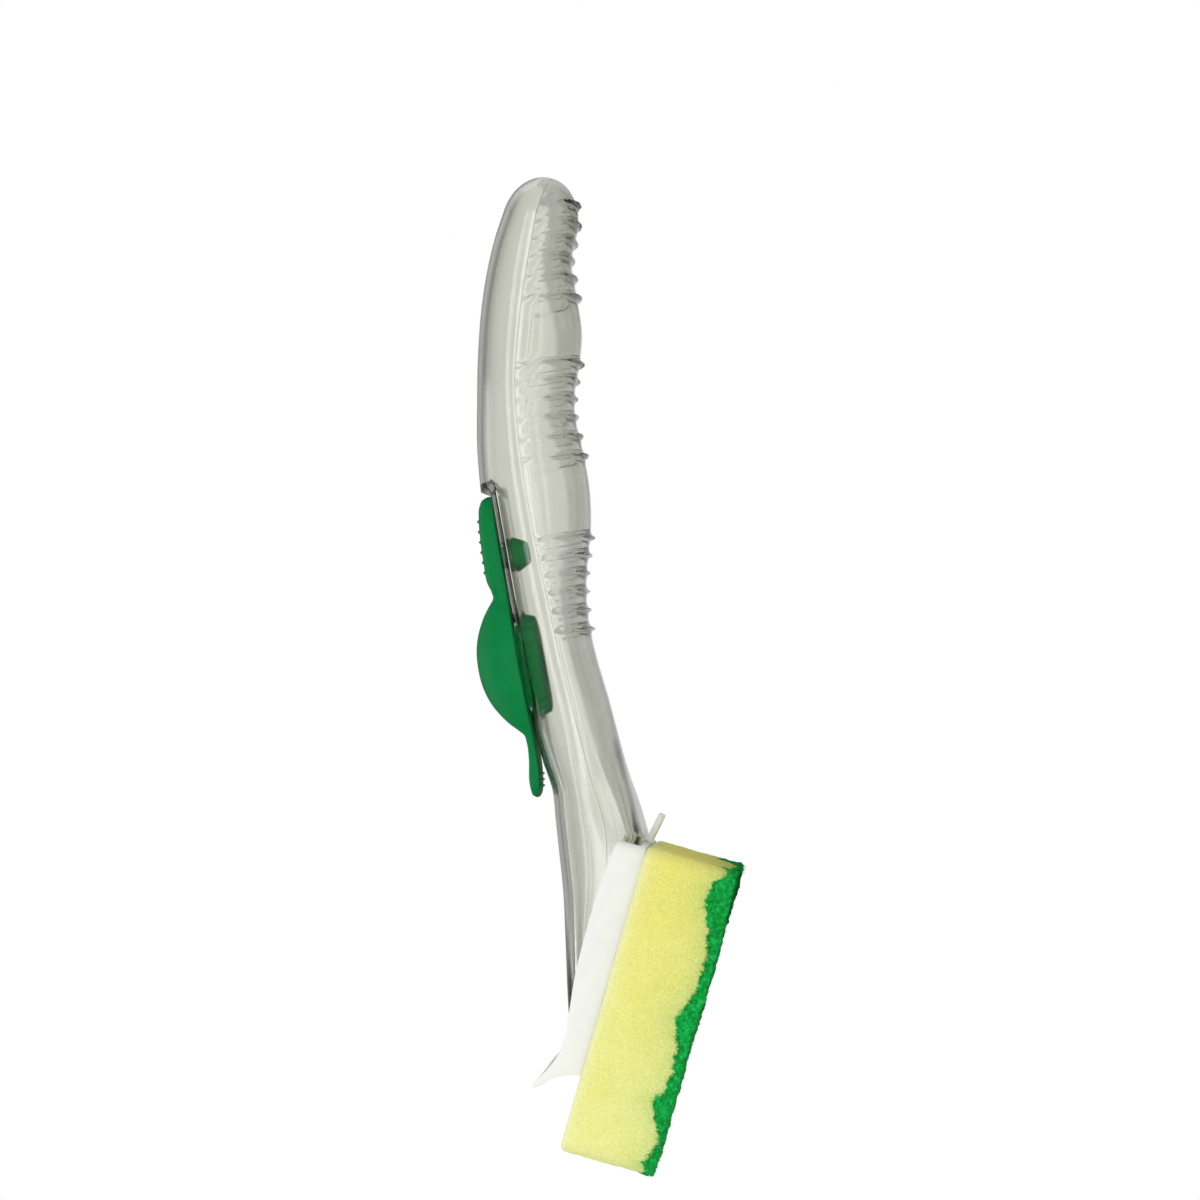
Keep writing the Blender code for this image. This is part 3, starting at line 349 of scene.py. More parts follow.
def shell_rows(upper):
    """Places of the rows along one half shell, and which of them starts the hollow."""
    count = round((DOME_START_X - NOSE_X) / ROW_SPACING)
    rows = np.union1d(np.linspace(NOSE_X, DOME_START_X, count + 1), [CAVITY_NOSE_X])
    if upper:
        rows = np.union1d(rows, step_feet(LAND_TAIL_U))
    else:
        # A ridge's crest leans towards the head, so its zone starts that much before its foot
        for x in RIDGE_GROUP_X:
            low = x - (RIDGES_PER_GROUP - 1) * RIDGE_PITCH_X - 4 * RIDGE_ZONE
            zone = np.arange(low, min(x + RIDGE_ZONE, DOME_START_X), RIDGE_ROW_SPACING)
            rows = np.union1d(rows[(rows < zone[0]) | (rows > zone[-1])], zone)
        rows = np.union1d(rows, [DOME_START_X])
    front = int(np.argmin(np.abs(rows - CAVITY_NOSE_X)))
    rows[front] = CAVITY_NOSE_X
    return rows, front


def flange(outer):
    """How far the flange that runs in the refill's rails stands out sideways."""
    x, y, z = outer[..., 0], outer[..., 1], outer[..., 2]
    ledge = ease(-z, -FLANGE_TOP - FLANGE_EDGE, -FLANGE_TOP + FLANGE_EDGE)
    ledge = ledge * ease(x, FLANGE_X[0] - FLANGE_FADE, FLANGE_X[0] + FLANGE_FADE)
    ledge = ledge * (1 - ease(x, FLANGE_X[1] - FLANGE_FADE, FLANGE_X[1] + FLANGE_FADE))
    return np.sign(y) * FLANGE_REACH * ledge * ease(np.abs(y), *FLANGE_SIDE_Y)


def shell_faces(outer, inner, tips, front):
    """Faces of a half shell between numbered points: both skins, the solid nose and the strip on the seam."""
    faces = []
    for ids, tip in ((outer, tips[0]), (inner, tips[1])):
        quads = [ids[:-1, :-1], ids[1:, :-1], ids[1:, 1:], ids[:-1, 1:]]
        faces.extend(np.stack([quad.ravel() for quad in quads], axis=1).tolist())
        faces.extend([ids[-1, k], tip, ids[-1, k + 1]] for k in range(ids.shape[1] - 1))
    faces += [outer[0].tolist(), inner[0].tolist()]
    for i in range(front - 1):
        faces.append([outer[i, 0], outer[i + 1, 0], outer[i + 1, -1], outer[i, -1]])
    faces.append([outer[front - 1, 0], outer[front, 0], inner[0, 0], inner[0, -1],
                  outer[front, -1], outer[front - 1, -1]])
    for i in range(len(inner) - 1):
        for edge in (0, -1):
            faces.append([outer[i + front, edge], outer[i + front + 1, edge],
                          inner[i + 1, edge], inner[i, edge]])
    return faces + [[outer[-1, edge], *tips, inner[-1, edge]] for edge in (0, -1)]


def shell_mesh(name, upper):
    """One closed half shell of the clear handle."""
    rows, front = shell_rows(upper)
    rounds = np.sin(np.pi / 2 * np.arange(1, TIP_ROWS) / TIP_ROWS)
    columns = BACK_COLUMNS if upper else GRIP_COLUMNS
    outer_x = np.concatenate([rows, DOME_START_X + DOME_LENGTH * rounds])
    inner_x = np.concatenate([rows[front:], DOME_START_X + (DOME_LENGTH - SHELL_WALL) * rounds])
    outer = surface(outer_x, 0.0, upper, *columns)
    inner = surface(inner_x, SHELL_WALL, upper, *columns)
    if not upper:
        outer += grid_normals(outer) * ridge_lift(outer)[..., None]
        outer[..., 1] += flange(outer)
    shift = SHELL_GAP / 2 * (1 if upper else -1)
    outer[..., 2] += shift
    inner[..., 2] += shift
    tip_z = float(seam_height(DOME_START_X)) + shift
    tips = [(DOME_START_X + DOME_LENGTH, 0.0, tip_z), (DOME_START_X + DOME_LENGTH - SHELL_WALL, 0.0, tip_z)]
    verts = np.concatenate([outer.reshape(-1, 3), inner.reshape(-1, 3), tips])
    outer_ids = np.arange(outer[..., 0].size).reshape(outer.shape[:2])
    inner_ids = np.arange(inner[..., 0].size).reshape(inner.shape[:2]) + outer_ids.size
    faces = shell_faces(outer_ids, inner_ids, (len(verts) - 2, len(verts) - 1), front)
    return mesh_object(name, verts, faces, HEAD)


def step_feet(u):
    """Seam positions of the two rows that bound the step at the land's tail end."""
    x = np.linspace(60 * MM, 110 * MM, 100001)
    along = to_land(np.stack([x, 0 * x, seam_height(x)], axis=1))[0]
    return np.interp([u - 1e-6, u + LAND_STEP_FOOT], along, x)


def placed(name, data):
    """New object in the scene."""
    obj = bpy.data.objects.new(name, data)
    bpy.context.scene.collection.objects.link(obj)
    return obj


def mesh_object(name, verts, faces, matrix, sharp=38.0):
    """Object of points and faces, carried into the world frame, faces outwards, shaded smooth."""
    mesh = bpy.data.meshes.new(name)
    mesh.from_pydata([tuple(float(c) for c in v) for v in verts], [], [[int(i) for i in f] for f in faces])
    mesh.transform(matrix)
    return outwards(placed(name, mesh), sharp)


def outwards(obj, sharp=38.0):
    """Weld, point the faces outwards, and shade smooth except at sharp edges."""
    bm = bmesh.new()
    bm.from_mesh(obj.data)
    bmesh.ops.remove_doubles(bm, verts=bm.verts, dist=1e-7)
    bmesh.ops.recalc_face_normals(bm, faces=bm.faces)
    bm.to_mesh(obj.data)
    bm.free()
    obj.data.shade_smooth()
    obj.data.set_sharp_from_angle(angle=math.radians(sharp))
    return obj


def band(first, second, count):
    """Faces between two closed rings of points, from the number of each ring's first point."""
    return [[first + k, first + (k + 1) % count, second + (k + 1) % count, second + k] for k in range(count)]


def loft(name, rings, matrix):
    """Skin a row of equal closed rings, with a flat cap at each end."""
    count, last = len(rings[0]), len(rings) - 1
    faces = []
    for i in range(last):
        faces += band(i * count, (i + 1) * count, count)
    faces += [list(range(base, base + count)) for base in (0, last * count)]
    return mesh_object(name, np.concatenate(rings), faces, matrix)


def prism(name, outline, low, high, matrix, sideways=False):
    """Straight solid of a flat outline: drawn in XY and raised, or drawn in XZ and widened."""
    def ring(level):
        return [(x, level, z) if sideways else (x, z, level) for x, z in outline]
    return loft(name, [ring(low), ring(high)], matrix)


def arc(centre, radius, start, end, steps):
    """Points of an arc between two angles in degrees."""
    angles = np.radians(np.linspace(start, end, steps + 1))
    return [(centre[0] + radius * math.cos(a), centre[1] + radius * math.sin(a)) for a in angles]


def oval(low, high, half, steps=24):
    """Outline with straight sides and two half-round ends."""
    return arc((high - half, 0), half, -90, 90, steps) + arc((low + half, 0), half, 90, 270, steps)


def rectangle(x, y):
    """Corners of a rectangle between two places on each axis."""
    return [(x[0], y[0]), (x[1], y[0]), (x[1], y[1]), (x[0], y[1])]


def turned(name, profile, matrix, place, steps=64):
    """Turn a closed (radius, height) outline about an upright axis; a radius of 0 becomes a tip."""
    angles = 2 * np.pi * np.arange(steps) / steps
    verts = [(r * math.cos(a), r * math.sin(a), height) for r, height in profile for a in angles]
    closed = profile[0][0] > 0 and profile[-1][0] > 0
    faces = []
    for i in range(len(profile) if closed else len(profile) - 1):
        faces += band(i * steps, (i + 1) % len(profile) * steps, steps)
    return mesh_object(name, verts, faces, matrix @ Matrix.Translation((place, 0, 0)))


def applied(obj, sharp=38.0):
    """Turn the object's modifiers into mesh."""
    bpy.context.view_layer.update()
    evaluated = obj.evaluated_get(bpy.context.evaluated_depsgraph_get())
    mesh = bpy.data.meshes.new_from_object(evaluated)
    obj.modifiers.clear()
    obj.data = mesh
    return outwards(obj, sharp)


def boolean(target, tool, operation):
    """Apply one exact Boolean and drop the tool."""
    modifier = target.modifiers.new("cut", "BOOLEAN")
    modifier.operation = operation
    modifier.solver = "EXACT"
    modifier.object = tool
    applied(target)
    bpy.data.objects.remove(tool)


def bevelled(obj, width, angle):
    """Apply a small round to the object's sharp edges."""
    modifier = obj.modifiers.new("edges", "BEVEL")
    modifier.width = width
    modifier.segments = 3
    modifier.limit_method = "ANGLE"
    modifier.angle_limit = math.radians(angle)
    return applied(obj, 50.0)


def drilled(target, radius, low, high, matrix, place):
    """Cut a round hole between two heights."""
    tool = turned("hole", [(0, low), (radius, low), (radius, high), (0, high)], matrix, place)
    boolean(target, tool, "DIFFERENCE")


def joined(name, objects):
    """Put separate closed bodies into one object."""
    bm = bmesh.new()
    for obj in objects:
        bm.from_mesh(obj.data)
        bpy.data.objects.remove(obj)
    mesh = bpy.data.meshes.new(name)
    bm.to_mesh(mesh)
    bm.free()
    return outwards(placed(name, mesh))


# Materials

class Look:
    """Node tree of a material or of the world, with short calls for the nodes that are used here."""

    def __init__(self, block):
        block.use_nodes = True
        self.block = block
        self.nodes, self.links = block.node_tree.nodes, block.node_tree.links
        self.shader = self.nodes.get("Principled BSDF")

    def feed(self, node, inputs):
        """Give a node's inputs, by name or number, a value or another node's output."""
        for socket, value in inputs.items():
            if isinstance(value, bpy.types.NodeSocket):
                self.links.new(value, node.inputs[socket])
            else:
                node.inputs[socket].default_value = value

    def out(self, kind, output, inputs=None, **settings):
        """One output of a new node."""
        made = self.nodes.new("ShaderNode" + kind)
        for name, value in settings.items():
            setattr(made, name, value)
        self.feed(made, inputs or {})
        return made.outputs[output]

    def finish(self, surface, **more):
        """Join the last shaders to the output."""
        output = self.nodes.get("Material Output") or self.nodes.new("ShaderNodeOutputWorld")
        self.feed(output, {"Surface": surface, **more})
        return self.block

    def noise(self, scale, detail=4.0, rough=0.5):
        """Cloudy noise in the object's own metres."""
        return self.out("TexNoise", "Fac", {
            "Vector": self.out("TexCoord", "Object"), "Scale": scale, "Detail": detail, "Roughness": rough})

    def ramp(self, source, *stops):
        """Colours over a factor, from stops of position and colour."""
        colours = self.out("ValToRGB", "Color", {"Fac": source})
        elements = colours.node.color_ramp.elements
        while len(elements) < len(stops):
            elements.new(0.5)
        for element, (position, colour) in zip(elements, stops):
            element.position = position
            element.color = (*colour, 1.0)
        return colours

    def spread(self, source, low, high, low_in=0.3, high_in=0.7):
        """Map a factor onto a range."""
        return self.out("MapRange", "Result", {
            "Value": source, "From Min": low_in, "From Max": high_in, "To Min": low, "To Max": high})

    def maths(self, operation, *values):
        """Sum on numbers."""
        return self.out("Math", 0, dict(enumerate(values)), operation=operation)

    def blended(self, factor, first, second, blend="MIX"):
        """Mix of two colours."""
        return self.out("Mix", 2, {0: factor, 6: first, 7: second}, data_type="RGBA", blend_type=blend)

    def bump(self, source, distance, strength):
        """Bump from a factor, in metres."""
        return self.out("Bump", "Normal", {"Height": source, "Distance": distance, "Strength": strength})

    def either(self, factor, first, second):
        """Mix of two shaders."""
        return self.out("MixShader", "Shader", {0: factor, 1: first, 2: second})


def moulded(name, light, dark, rough, grain, grain_depth, **more):
    """Moulded plastic or elastomer: faint cloudy colour, uneven gloss and a fine surface grain."""
    look = Look(bpy.data.materials.new(name))
    cloud = look.noise(260.0, 3.0)
    look.feed(look.shader, {
        "Base Color": look.ramp(cloud, (0.35, dark), (0.65, light)),
        "Roughness": look.spread(cloud, *rough),
        "Normal": look.bump(look.noise(grain, 2.0), grain_depth, 0.6)})
    look.feed(look.shader, {socket.replace("_", " "): value for socket, value in more.items()})
    return look.block


def clear_plastic():
    """Clear, slightly smoky moulded plastic with a real wall thickness, which lets lamps through."""
    look = Look(bpy.data.materials.new("clear_plastic"))
    cloud = look.noise(60.0, 2.0)
    look.feed(look.shader, {
        "Base Color": look.ramp(cloud, (0.3, (0.84, 0.845, 0.80)), (0.7, (0.87, 0.875, 0.83))),
        "Roughness": look.spread(cloud, 0.07, 0.11),
        "Transmission Weight": 1.0,
        "IOR": 1.43})
    smoke = look.out("VolumeAbsorption", "Volume", {"Color": (0.60, 0.61, 0.56, 1.0), "Density": 100.0})
    passing = look.out("BsdfTransparent", "BSDF", {"Color": (0.86, 0.87, 0.83, 1.0)})
    shadow = look.out("LightPath", "Is Shadow Ray")
    return look.finish(look.either(shadow, look.shader.outputs["BSDF"], passing), Volume=smoke)


def foam_material():
    """Open-cell foam: pale yellow, with painted shade in its open cells, greener towards the scour layer."""
    look = Look(bpy.data.materials.new("yellow_foam"))
    place = look.out("TexCoord", "Object")
    cells = look.out("TexVoronoi", "Distance", {"Vector": place, "Scale": 1500.0})
    # Painted shade in the open cells: each cell's middle is darker, as a pore in shade would be
    hollow = look.ramp(cells, (0.0, (0.88, 0.90, 0.76)), (0.5, (1.0, 1.0, 1.0)))
    yellow = look.ramp(look.noise(120.0, 5.0, 0.6), (0.3, (0.83, 0.84, 0.25)), (0.7, (0.89, 0.885, 0.33)))
    # Warmer and deeper towards the tail end of the block
    along = look.spread(look.out("SeparateXYZ", "X", {"Vector": place}), 0.0, 1.0, -0.12, -0.06)
    warm = look.blended(along, yellow, (1.0, 0.935, 0.62, 1.0), "MULTIPLY")
    # A little darker towards the scour layer, and paler next to the base
    near = look.out("Attribute", "Fac", attribute_name="near_scour")
    shaded = look.blended(look.maths("POWER", near, 0.4), warm, (0.84, 0.86, 0.95, 1.0), "MULTIPLY")
    near_base = look.out("Attribute", "Fac", attribute_name="near_base")
    faded = look.blended(near_base, shaded, (0.86, 0.87, 0.48, 1.0))
    patchy = look.spread(look.noise(700.0, 4.0, 0.7), 0.1, 0.95, 0.35, 0.62)
    stained = look.blended(look.maths("MULTIPLY", near, patchy), faded, (0.42, 0.70, 0.16, 1.0))
    # Lay the painted shade of the cells over the colour
    pore_shaded = look.blended(1.0, stained, hollow, "MULTIPLY")
    specks = look.spread(look.noise(1900.0, 2.0), 0.0, 0.5, 0.52, 0.70)
    look.feed(look.shader, {
        "Base Color": look.blended(specks, pore_shaded, (0.95, 0.95, 0.62, 1.0)),
        "Roughness": 0.95,
        "Specular IOR Level": 0.2,
        "Subsurface Weight": 0.35,
        "Subsurface Radius": (0.003, 0.0028, 0.0012),
        "Subsurface Scale": 1.0,
        "Normal": look.bump(cells, 0.00025, 0.8)})
    return look.block


def scour_material():
    """Non-woven scouring fibre: bright green mottled with darker green."""
    look = Look(bpy.data.materials.new("green_scour"))
    look.feed(look.shader, {
        "Base Color": look.ramp(look.noise(850.0, 6.0, 0.85), (0.38, (0.0, 0.20, 0.01)),
                                (0.5, (0.0, 0.39, 0.05)), (0.62, (0.012, 0.62, 0.15))),
        "Roughness": 0.9,
        "Specular IOR Level": 0.25,
        "Normal": look.bump(look.noise(2600.0, 4.0, 0.6), 0.0004, 0.9)})
    return look.block


CLEAR = clear_plastic()
GREEN = moulded("green_elastomer", (0.0, 0.215, 0.052), (0.0, 0.192, 0.046), (0.5, 0.6), 3500.0, 0.00002,
                Specular_IOR_Level=0.1)
WHITE = moulded("white_plastic", (0.845, 0.855, 0.815), (0.815, 0.825, 0.785), (0.36, 0.46), 2500.0, 0.00001,
                Subsurface_Weight=0.25, Subsurface_Radius=(0.004, 0.004, 0.0035), Subsurface_Scale=1.0)
SILICONE = moulded("silicone", (0.80, 0.82, 0.82), (0.74, 0.77, 0.77), (0.35, 0.45), 1500.0, 0.00001)
FOAM = foam_material()
SCOUR = scour_material()


def dressed(obj, material, body, slot, *nodes):
    """Give a piece its material, body and the CAD nodes it stands for; the slot is not used."""
    obj.data.materials.clear()
    obj.data.materials.append(material)
    if body:
        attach(obj, body)
    if nodes:
        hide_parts(*nodes)
    return obj


# Clear handle

STOPPER_FRONT_U = 4.6 * MM
STOPPER_REAR_U = 34.8 * MM
STOPPER_HALF_WIDTH = 8.0 * MM
STOPPER_CLEARANCE = 0.45 * MM
ANCHOR_U = 51.4 * MM
ANCHOR_STEM_RADIUS = 3.5 * MM
ANCHOR_BARB_RADIUS = 4.9 * MM
ANCHOR_TIP_RADIUS = 2.8 * MM
ANCHOR_DEPTH = 6.8 * MM
LAND_CUT_V = (-6 * MM, 4 * MM)
SOLE_CUT_TOP = 6 * MM

back = shell_mesh("clear_back", True)
port = oval(STOPPER_FRONT_U - STOPPER_CLEARANCE, STOPPER_REAR_U + STOPPER_CLEARANCE,
            STOPPER_HALF_WIDTH + STOPPER_CLEARANCE)
boolean(back, prism("port", port, *LAND_CUT_V, LAND), "DIFFERENCE")
drilled(back, ANCHOR_STEM_RADIUS + GAP, *LAND_CUT_V, LAND, ANCHOR_U)
dressed(back, CLEAR, "handle", "clear_plastic", "back_shell")

grip = shell_mesh("clear_grip", False)
drilled(grip, VALVE_PORT_RADIUS, 0, SOLE_CUT_TOP, HEAD, VALVE_X)
collar_foot = SOLE_HEIGHT + SHELL_WALL + COLLAR_FOOT_GAP
collar = turned("collar", [
    (COLLAR_OUTER, collar_foot), (COLLAR_OUTER, COLLAR_TOP - COLLAR_EDGE),
    (COLLAR_OUTER - COLLAR_EDGE, COLLAR_TOP), (COLLAR_INNER, COLLAR_TOP), (COLLAR_INNER, collar_foot)],
    HEAD, VALVE_X)
grip = joined("clear_grip_shell", [grip, collar])
dressed(grip, CLEAR, "handle", "clear_plastic", "grip_shell")
for node, material in (("slit_valve", SILICONE), ("valve_retainer", WHITE)):
    slots = frame["nodes"][node].data.materials
    slots.clear()
    slots.append(material)

# Cap, in the land's frame

CAP_BASE_V = 0.3 * MM
CAP_RIM = 0.5 * MM
CAP_UNDERSIDE_ROUNDNESS = 5.0
STRAP_ROUNDNESS = 3.4
STRAP_RIBS = (47.5 * MM, 2.9 * MM, 6, 0.5 * MM, (4.6 * MM, 6.4 * MM))
STRAP_RIB_LOW_V = 3 * MM
ANCHOR_EDGE = 0.3 * MM
TAB_TIP_U = -15.5 * MM
TAB_TIP_RIM = 0.22 * MM
TAB_RIBS = (-14.2 * MM, 1.7 * MM, 3, 0.45 * MM, (4.0 * MM, 5.0 * MM))
TAB_RIB_LOW_V = 0.3 * MM
TAB_RIB_STRETCH = 1.6
STOPPER_POINTS = 300
STOPPER_FLUTES = 30
STOPPER_RINGS = scaled([(1.5, 0), (-0.6, 0), (-1.4, 0.05), (-4.6, 1.1), (-5.1, 1.35), (-5.3, 1.8)])
FLUTE_DEPTH = 0.16 * MM
FLUTE_TOP_V = -1.0 * MM
BREATHER_U = (13.7 * MM, 25.7 * MM)
BREATHER_HALF = 2.0 * MM
BREATHER_V = (-9 * MM, -4.2 * MM)
WEB_OUTLINE = scaled([
    (39.9, 3.9), (40.3, 4.5), (41.2, 4.75), (42.1, 4.8), (42.6, 4.1), (42.2, 3.6), (41.2, 3.7), (40.3, 3.6)])
WEB_HALF = 7.7 * MM


def power(value, exponent):
    """Raise signed numbers to a power and keep their signs."""
    return np.sign(value) * np.abs(value) ** exponent


def cap_rings(u_values, under, top, width, roundness, rim, points=72):
    """Rings of a soft plate: rounded underside edge, and a top that swells as its roundness says."""
    rings = []
    angle = 2 * np.pi * np.arange(points) / points
    c, s = np.cos(angle), np.sin(angle)
    for u in u_values:
        low, high, w, n, r = under(u), top(u), width(u), roundness(u), rim(u)
        base = low + r
        y = w * np.where(s >= 0, power(c, 2 / n), power(c, 2 / CAP_UNDERSIDE_ROUNDNESS))
        swell = base + (high - base) * np.abs(s) ** (2 / n)
        z = np.where(s >= 0, swell, base - r * np.abs(s) ** (2 / CAP_UNDERSIDE_ROUNDNESS))
        rings.append(np.stack([np.full(points, u), y, z], axis=1))
    return rings


def ribs(ring, first, pitch, count, radius, ends):
    """Height at a ring of small round ribs across the cap, which fade out between two half-widths."""
    u = ring[0, 0]
    height = sum(radius * np.exp(-((u - first - pitch * k) / (0.62 * radius)) ** 2) for k in range(count))
    return height * (1 - ease(np.abs(ring[:, 1]), *ends))


strap_top = line(scaled([
    (41.2, 4.9), (43.9, 5.9), (50, 6.1), (57.1, 5.8), (62.6, 5.3), (66.4, 4.4), (68, 3.3), (68.6, 2.2)]))
strap_width = line(scaled([(41.2, 8.2), (62.6, 7.8), (65.6, 6.7), (67.6, 5), (68.4, 3.2), (68.6, 2.2)]))
strap_u = MM * np.concatenate([
    np.linspace(41.22, 46.5, 16), np.linspace(46.7, 64.0, 116), np.linspace(64.3, 68.6, 22)])
rings = cap_rings(strap_u, lambda u: CAP_BASE_V, strap_top, strap_width,
                  lambda u: STRAP_ROUNDNESS, lambda u: CAP_RIM)
for ring in rings:
    ring[:, 2] += np.where(ring[:, 2] > STRAP_RIB_LOW_V, ribs(ring, *STRAP_RIBS), 0)
strap = loft("strap_skin", rings, LAND)
barb_top = -SHELL_WALL - GAP
stub = turned("stub", [
    (0, 1.5 * MM), (ANCHOR_STEM_RADIUS, 1.5 * MM), (ANCHOR_STEM_RADIUS, barb_top),
    (ANCHOR_BARB_RADIUS - ANCHOR_EDGE, barb_top), (ANCHOR_BARB_RADIUS, barb_top - ANCHOR_EDGE),
    (ANCHOR_BARB_RADIUS - 0.2 * MM, barb_top - 1.2 * MM),
    (ANCHOR_TIP_RADIUS + 0.4 * MM, -ANCHOR_DEPTH + ANCHOR_EDGE),
    (ANCHOR_TIP_RADIUS, -ANCHOR_DEPTH), (0, -ANCHOR_DEPTH)], LAND, ANCHOR_U)
boolean(strap, stub, "UNION")
dressed(strap, GREEN, "handle", "green_elastomer", "cap_strap")

flap_top = line(scaled([
    (-17.2, 3), (-16.6, 3.7), (-15.2, 4.05), (-12.9, 4.1), (-6.3, 3.1), (-1.5, 2.8), (0.6, 3.1),
    (2.2, 4.5), (4, 6.3), (6.4, 8.3), (9.5, 10.3), (14.5, 12.2), (21.5, 12.9), (27.2, 12.3),
    (31.5, 10.9), (35, 9), (37.6, 6.9), (39.6, 5.2), (41.18, 4.85)]))
flap_under = line(scaled([
    (-17.2, 2.4), (-16.6, 1.9), (-15.4, 1.4), (-12.9, 0.9), (-8.4, 0.4), (-3, 0.3), (41.2, 0.3)]))
flap_width = line(scaled([
    (-17.2, 1.6), (-16.9, 2.9), (-16.2, 4.3), (-14.6, 5.5), (-10, 6.2), (-4, 6.6), (2, 8.6),
    (9, 12), (18, 13.6), (27, 13), (35, 10.2), (39, 8.6), (41.2, 8.2)]))


def flap_roundness(u):
    """Square-edged plate at both ends, rounded dome between."""
    dome = ease(u, 0.0, 9 * MM) * (1 - ease(u, 33 * MM, 41 * MM))
    return 4.4 - 2.1 * dome


flap_u = MM * np.concatenate([
    np.linspace(-17.2, -15.6, 10)[:-1], np.linspace(-15.6, -8.0, 40)[:-1], np.linspace(-8.0, 0.0, 14)[:-1],
    np.linspace(0.0, 8.0, 28)[:-1], np.linspace(8.0, 34.0, 42)[:-1], np.linspace(34.0, 41.18, 26)])
rings = cap_rings(flap_u, flap_under, flap_top, flap_width, flap_roundness,
                  lambda u: TAB_TIP_RIM if u < TAB_TIP_U else CAP_RIM)
for ring in rings:
    low = ring[:, 2] < flap_under(ring[0, 0]) + TAB_RIB_LOW_V
    ring[:, 2] -= np.where(low, ribs(ring, *TAB_RIBS) * TAB_RIB_STRETCH, 0)
flap = loft("cap_skin", rings, LAND)


def stopper_ring(level, narrowing):
    """Oval ring of the stopper with shallow upright flutes."""
    outline = oval(STOPPER_FRONT_U + narrowing, STOPPER_REAR_U - narrowing,
                   STOPPER_HALF_WIDTH - narrowing, 60)
    closed = np.array(outline + outline[:1])
    length = run(closed)
    depth = FLUTE_DEPTH if level < FLUTE_TOP_V else 0
    ring = []
    for k in range(STOPPER_POINTS):
        turn = k / STOPPER_POINTS
        x, y = (np.interp(length[-1] * turn, length, closed[:, column]) for column in (0, 1))
        centre_x = min(max(x, STOPPER_FRONT_U + STOPPER_HALF_WIDTH), STOPPER_REAR_U - STOPPER_HALF_WIDTH)
        out = Vector((x - centre_x, y, 0)).normalized()
        flute = depth * (1 - math.cos(2 * math.pi * STOPPER_FLUTES * turn))
        ring.append((x - out.x * flute, y - out.y * flute, level))
    return ring


stopper = loft("stopper", [stopper_ring(level, narrowing) for level, narrowing in STOPPER_RINGS], LAND)
breather = prism("breather", oval(*BREATHER_U, BREATHER_HALF), *BREATHER_V, LAND)
boolean(stopper, breather, "DIFFERENCE")
boolean(flap, stopper, "UNION")
dressed(flap, GREEN, None, "green_elastomer", "cap_flap", "thumb_crown")
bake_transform(flap)

web = prism("hinge_web", WEB_OUTLINE, -WEB_HALF, WEB_HALF, LAND, sideways=True)
dressed(web, GREEN, None, "green_elastomer")
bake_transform(web)

# Refill base

BASE_FLOOR_UNDER = 0.3 * MM
BASE_FLOOR_THICKNESS = 1.7 * MM
BASE_HALF = 24.9 * MM
BASE_REAR_X = -0.4 * MM
BASE_CORNER = 3.0 * MM
BASE_EDGE = 0.45 * MM
NOSE_PLAN_X = -72.3 * MM
NOSE_HOLLOW = 3.0 * MM
WELL_X = (-61.6 * MM, 9 * MM)
WELL_Y = (-23.1 * MM, 23.1 * MM)
BASE_CUT_TOP = 40 * MM
RAIL_X = (-56 * MM, -3.4 * MM)
RAIL_Y = (21.9 * MM, 24.0 * MM)
RAIL_Z = (4.9 * MM, 6.3 * MM)
WINDOW_RADIUS = 7.5 * MM
TONGUE_X = (0.3 * MM, 5.4 * MM, 8.4 * MM)
TONGUE_HALF = 5 * MM
TONGUE_THICKNESS = 1.7 * MM
TONGUE_EDGE = 0.22 * MM
TONGUE_DROOP = math.radians(10)
wall_top = line(scaled([
    (-72, 12.5), (-69, 11.1), (-66.2, 9.5), (-62.1, 7.9), (-57.2, 7.3), (-50, 8.1),
    (-40.5, 9.3), (-28.7, 9.8), (-12.6, 9.6), (-6.9, 9.2), (-0.4, 8.4)]))
lip_under = line(scaled([
    (0.3, -65.4), (1, -65.5), (3.6, -66.2), (7.5, -68.2), (10.4, -71.2), (11.6, -72)]))
outline = [(x, float(wall_top(x))) for x in np.linspace(BASE_REAR_X, -71.7 * MM, 80)]
outline += [(-72.1 * MM, 12.35 * MM), (-72.1 * MM, 12.0 * MM)]
outline += [(float(lip_under(z)), z) for z in np.linspace(11.4, 0.3, 30) * MM]
outline += [(BASE_REAR_X, BASE_FLOOR_UNDER)]
base = prism("carrier", outline, -BASE_HALF, BASE_HALF, HEAD, sideways=True)
radius = (BASE_HALF ** 2 + NOSE_HOLLOW ** 2) / (2 * NOSE_HOLLOW)
plan = []
for y in np.linspace(BASE_HALF, -BASE_HALF, 61):
    plan.append((NOSE_PLAN_X + math.sqrt(radius ** 2 - y ** 2) - radius + NOSE_HOLLOW, y))
plan += arc((BASE_REAR_X - BASE_CORNER, BASE_CORNER - BASE_HALF), BASE_CORNER, 270, 360, 12)
plan += arc((BASE_REAR_X - BASE_CORNER, BASE_HALF - BASE_CORNER), BASE_CORNER, 0, 90, 12)
boolean(base, prism("plan", plan, -9 * MM, BASE_CUT_TOP, HEAD), "INTERSECT")
well = prism("well", rectangle(WELL_X, WELL_Y), BASE_FLOOR_UNDER + BASE_FLOOR_THICKNESS, BASE_CUT_TOP, HEAD)
boolean(base, well, "DIFFERENCE")
base = bevelled(base, BASE_EDGE, 40.0)
for side in (-1, 1):
    rail = rectangle(RAIL_X, sorted(side * y for y in RAIL_Y))
    boolean(base, prism("rail", rail, *RAIL_Z, HEAD), "UNION")
drilled(base, WINDOW_RADIUS, -2 * MM, 3 * MM, HEAD, VALVE_X)
dressed(base, WHITE, "refill", "white_plastic", "refill_base")

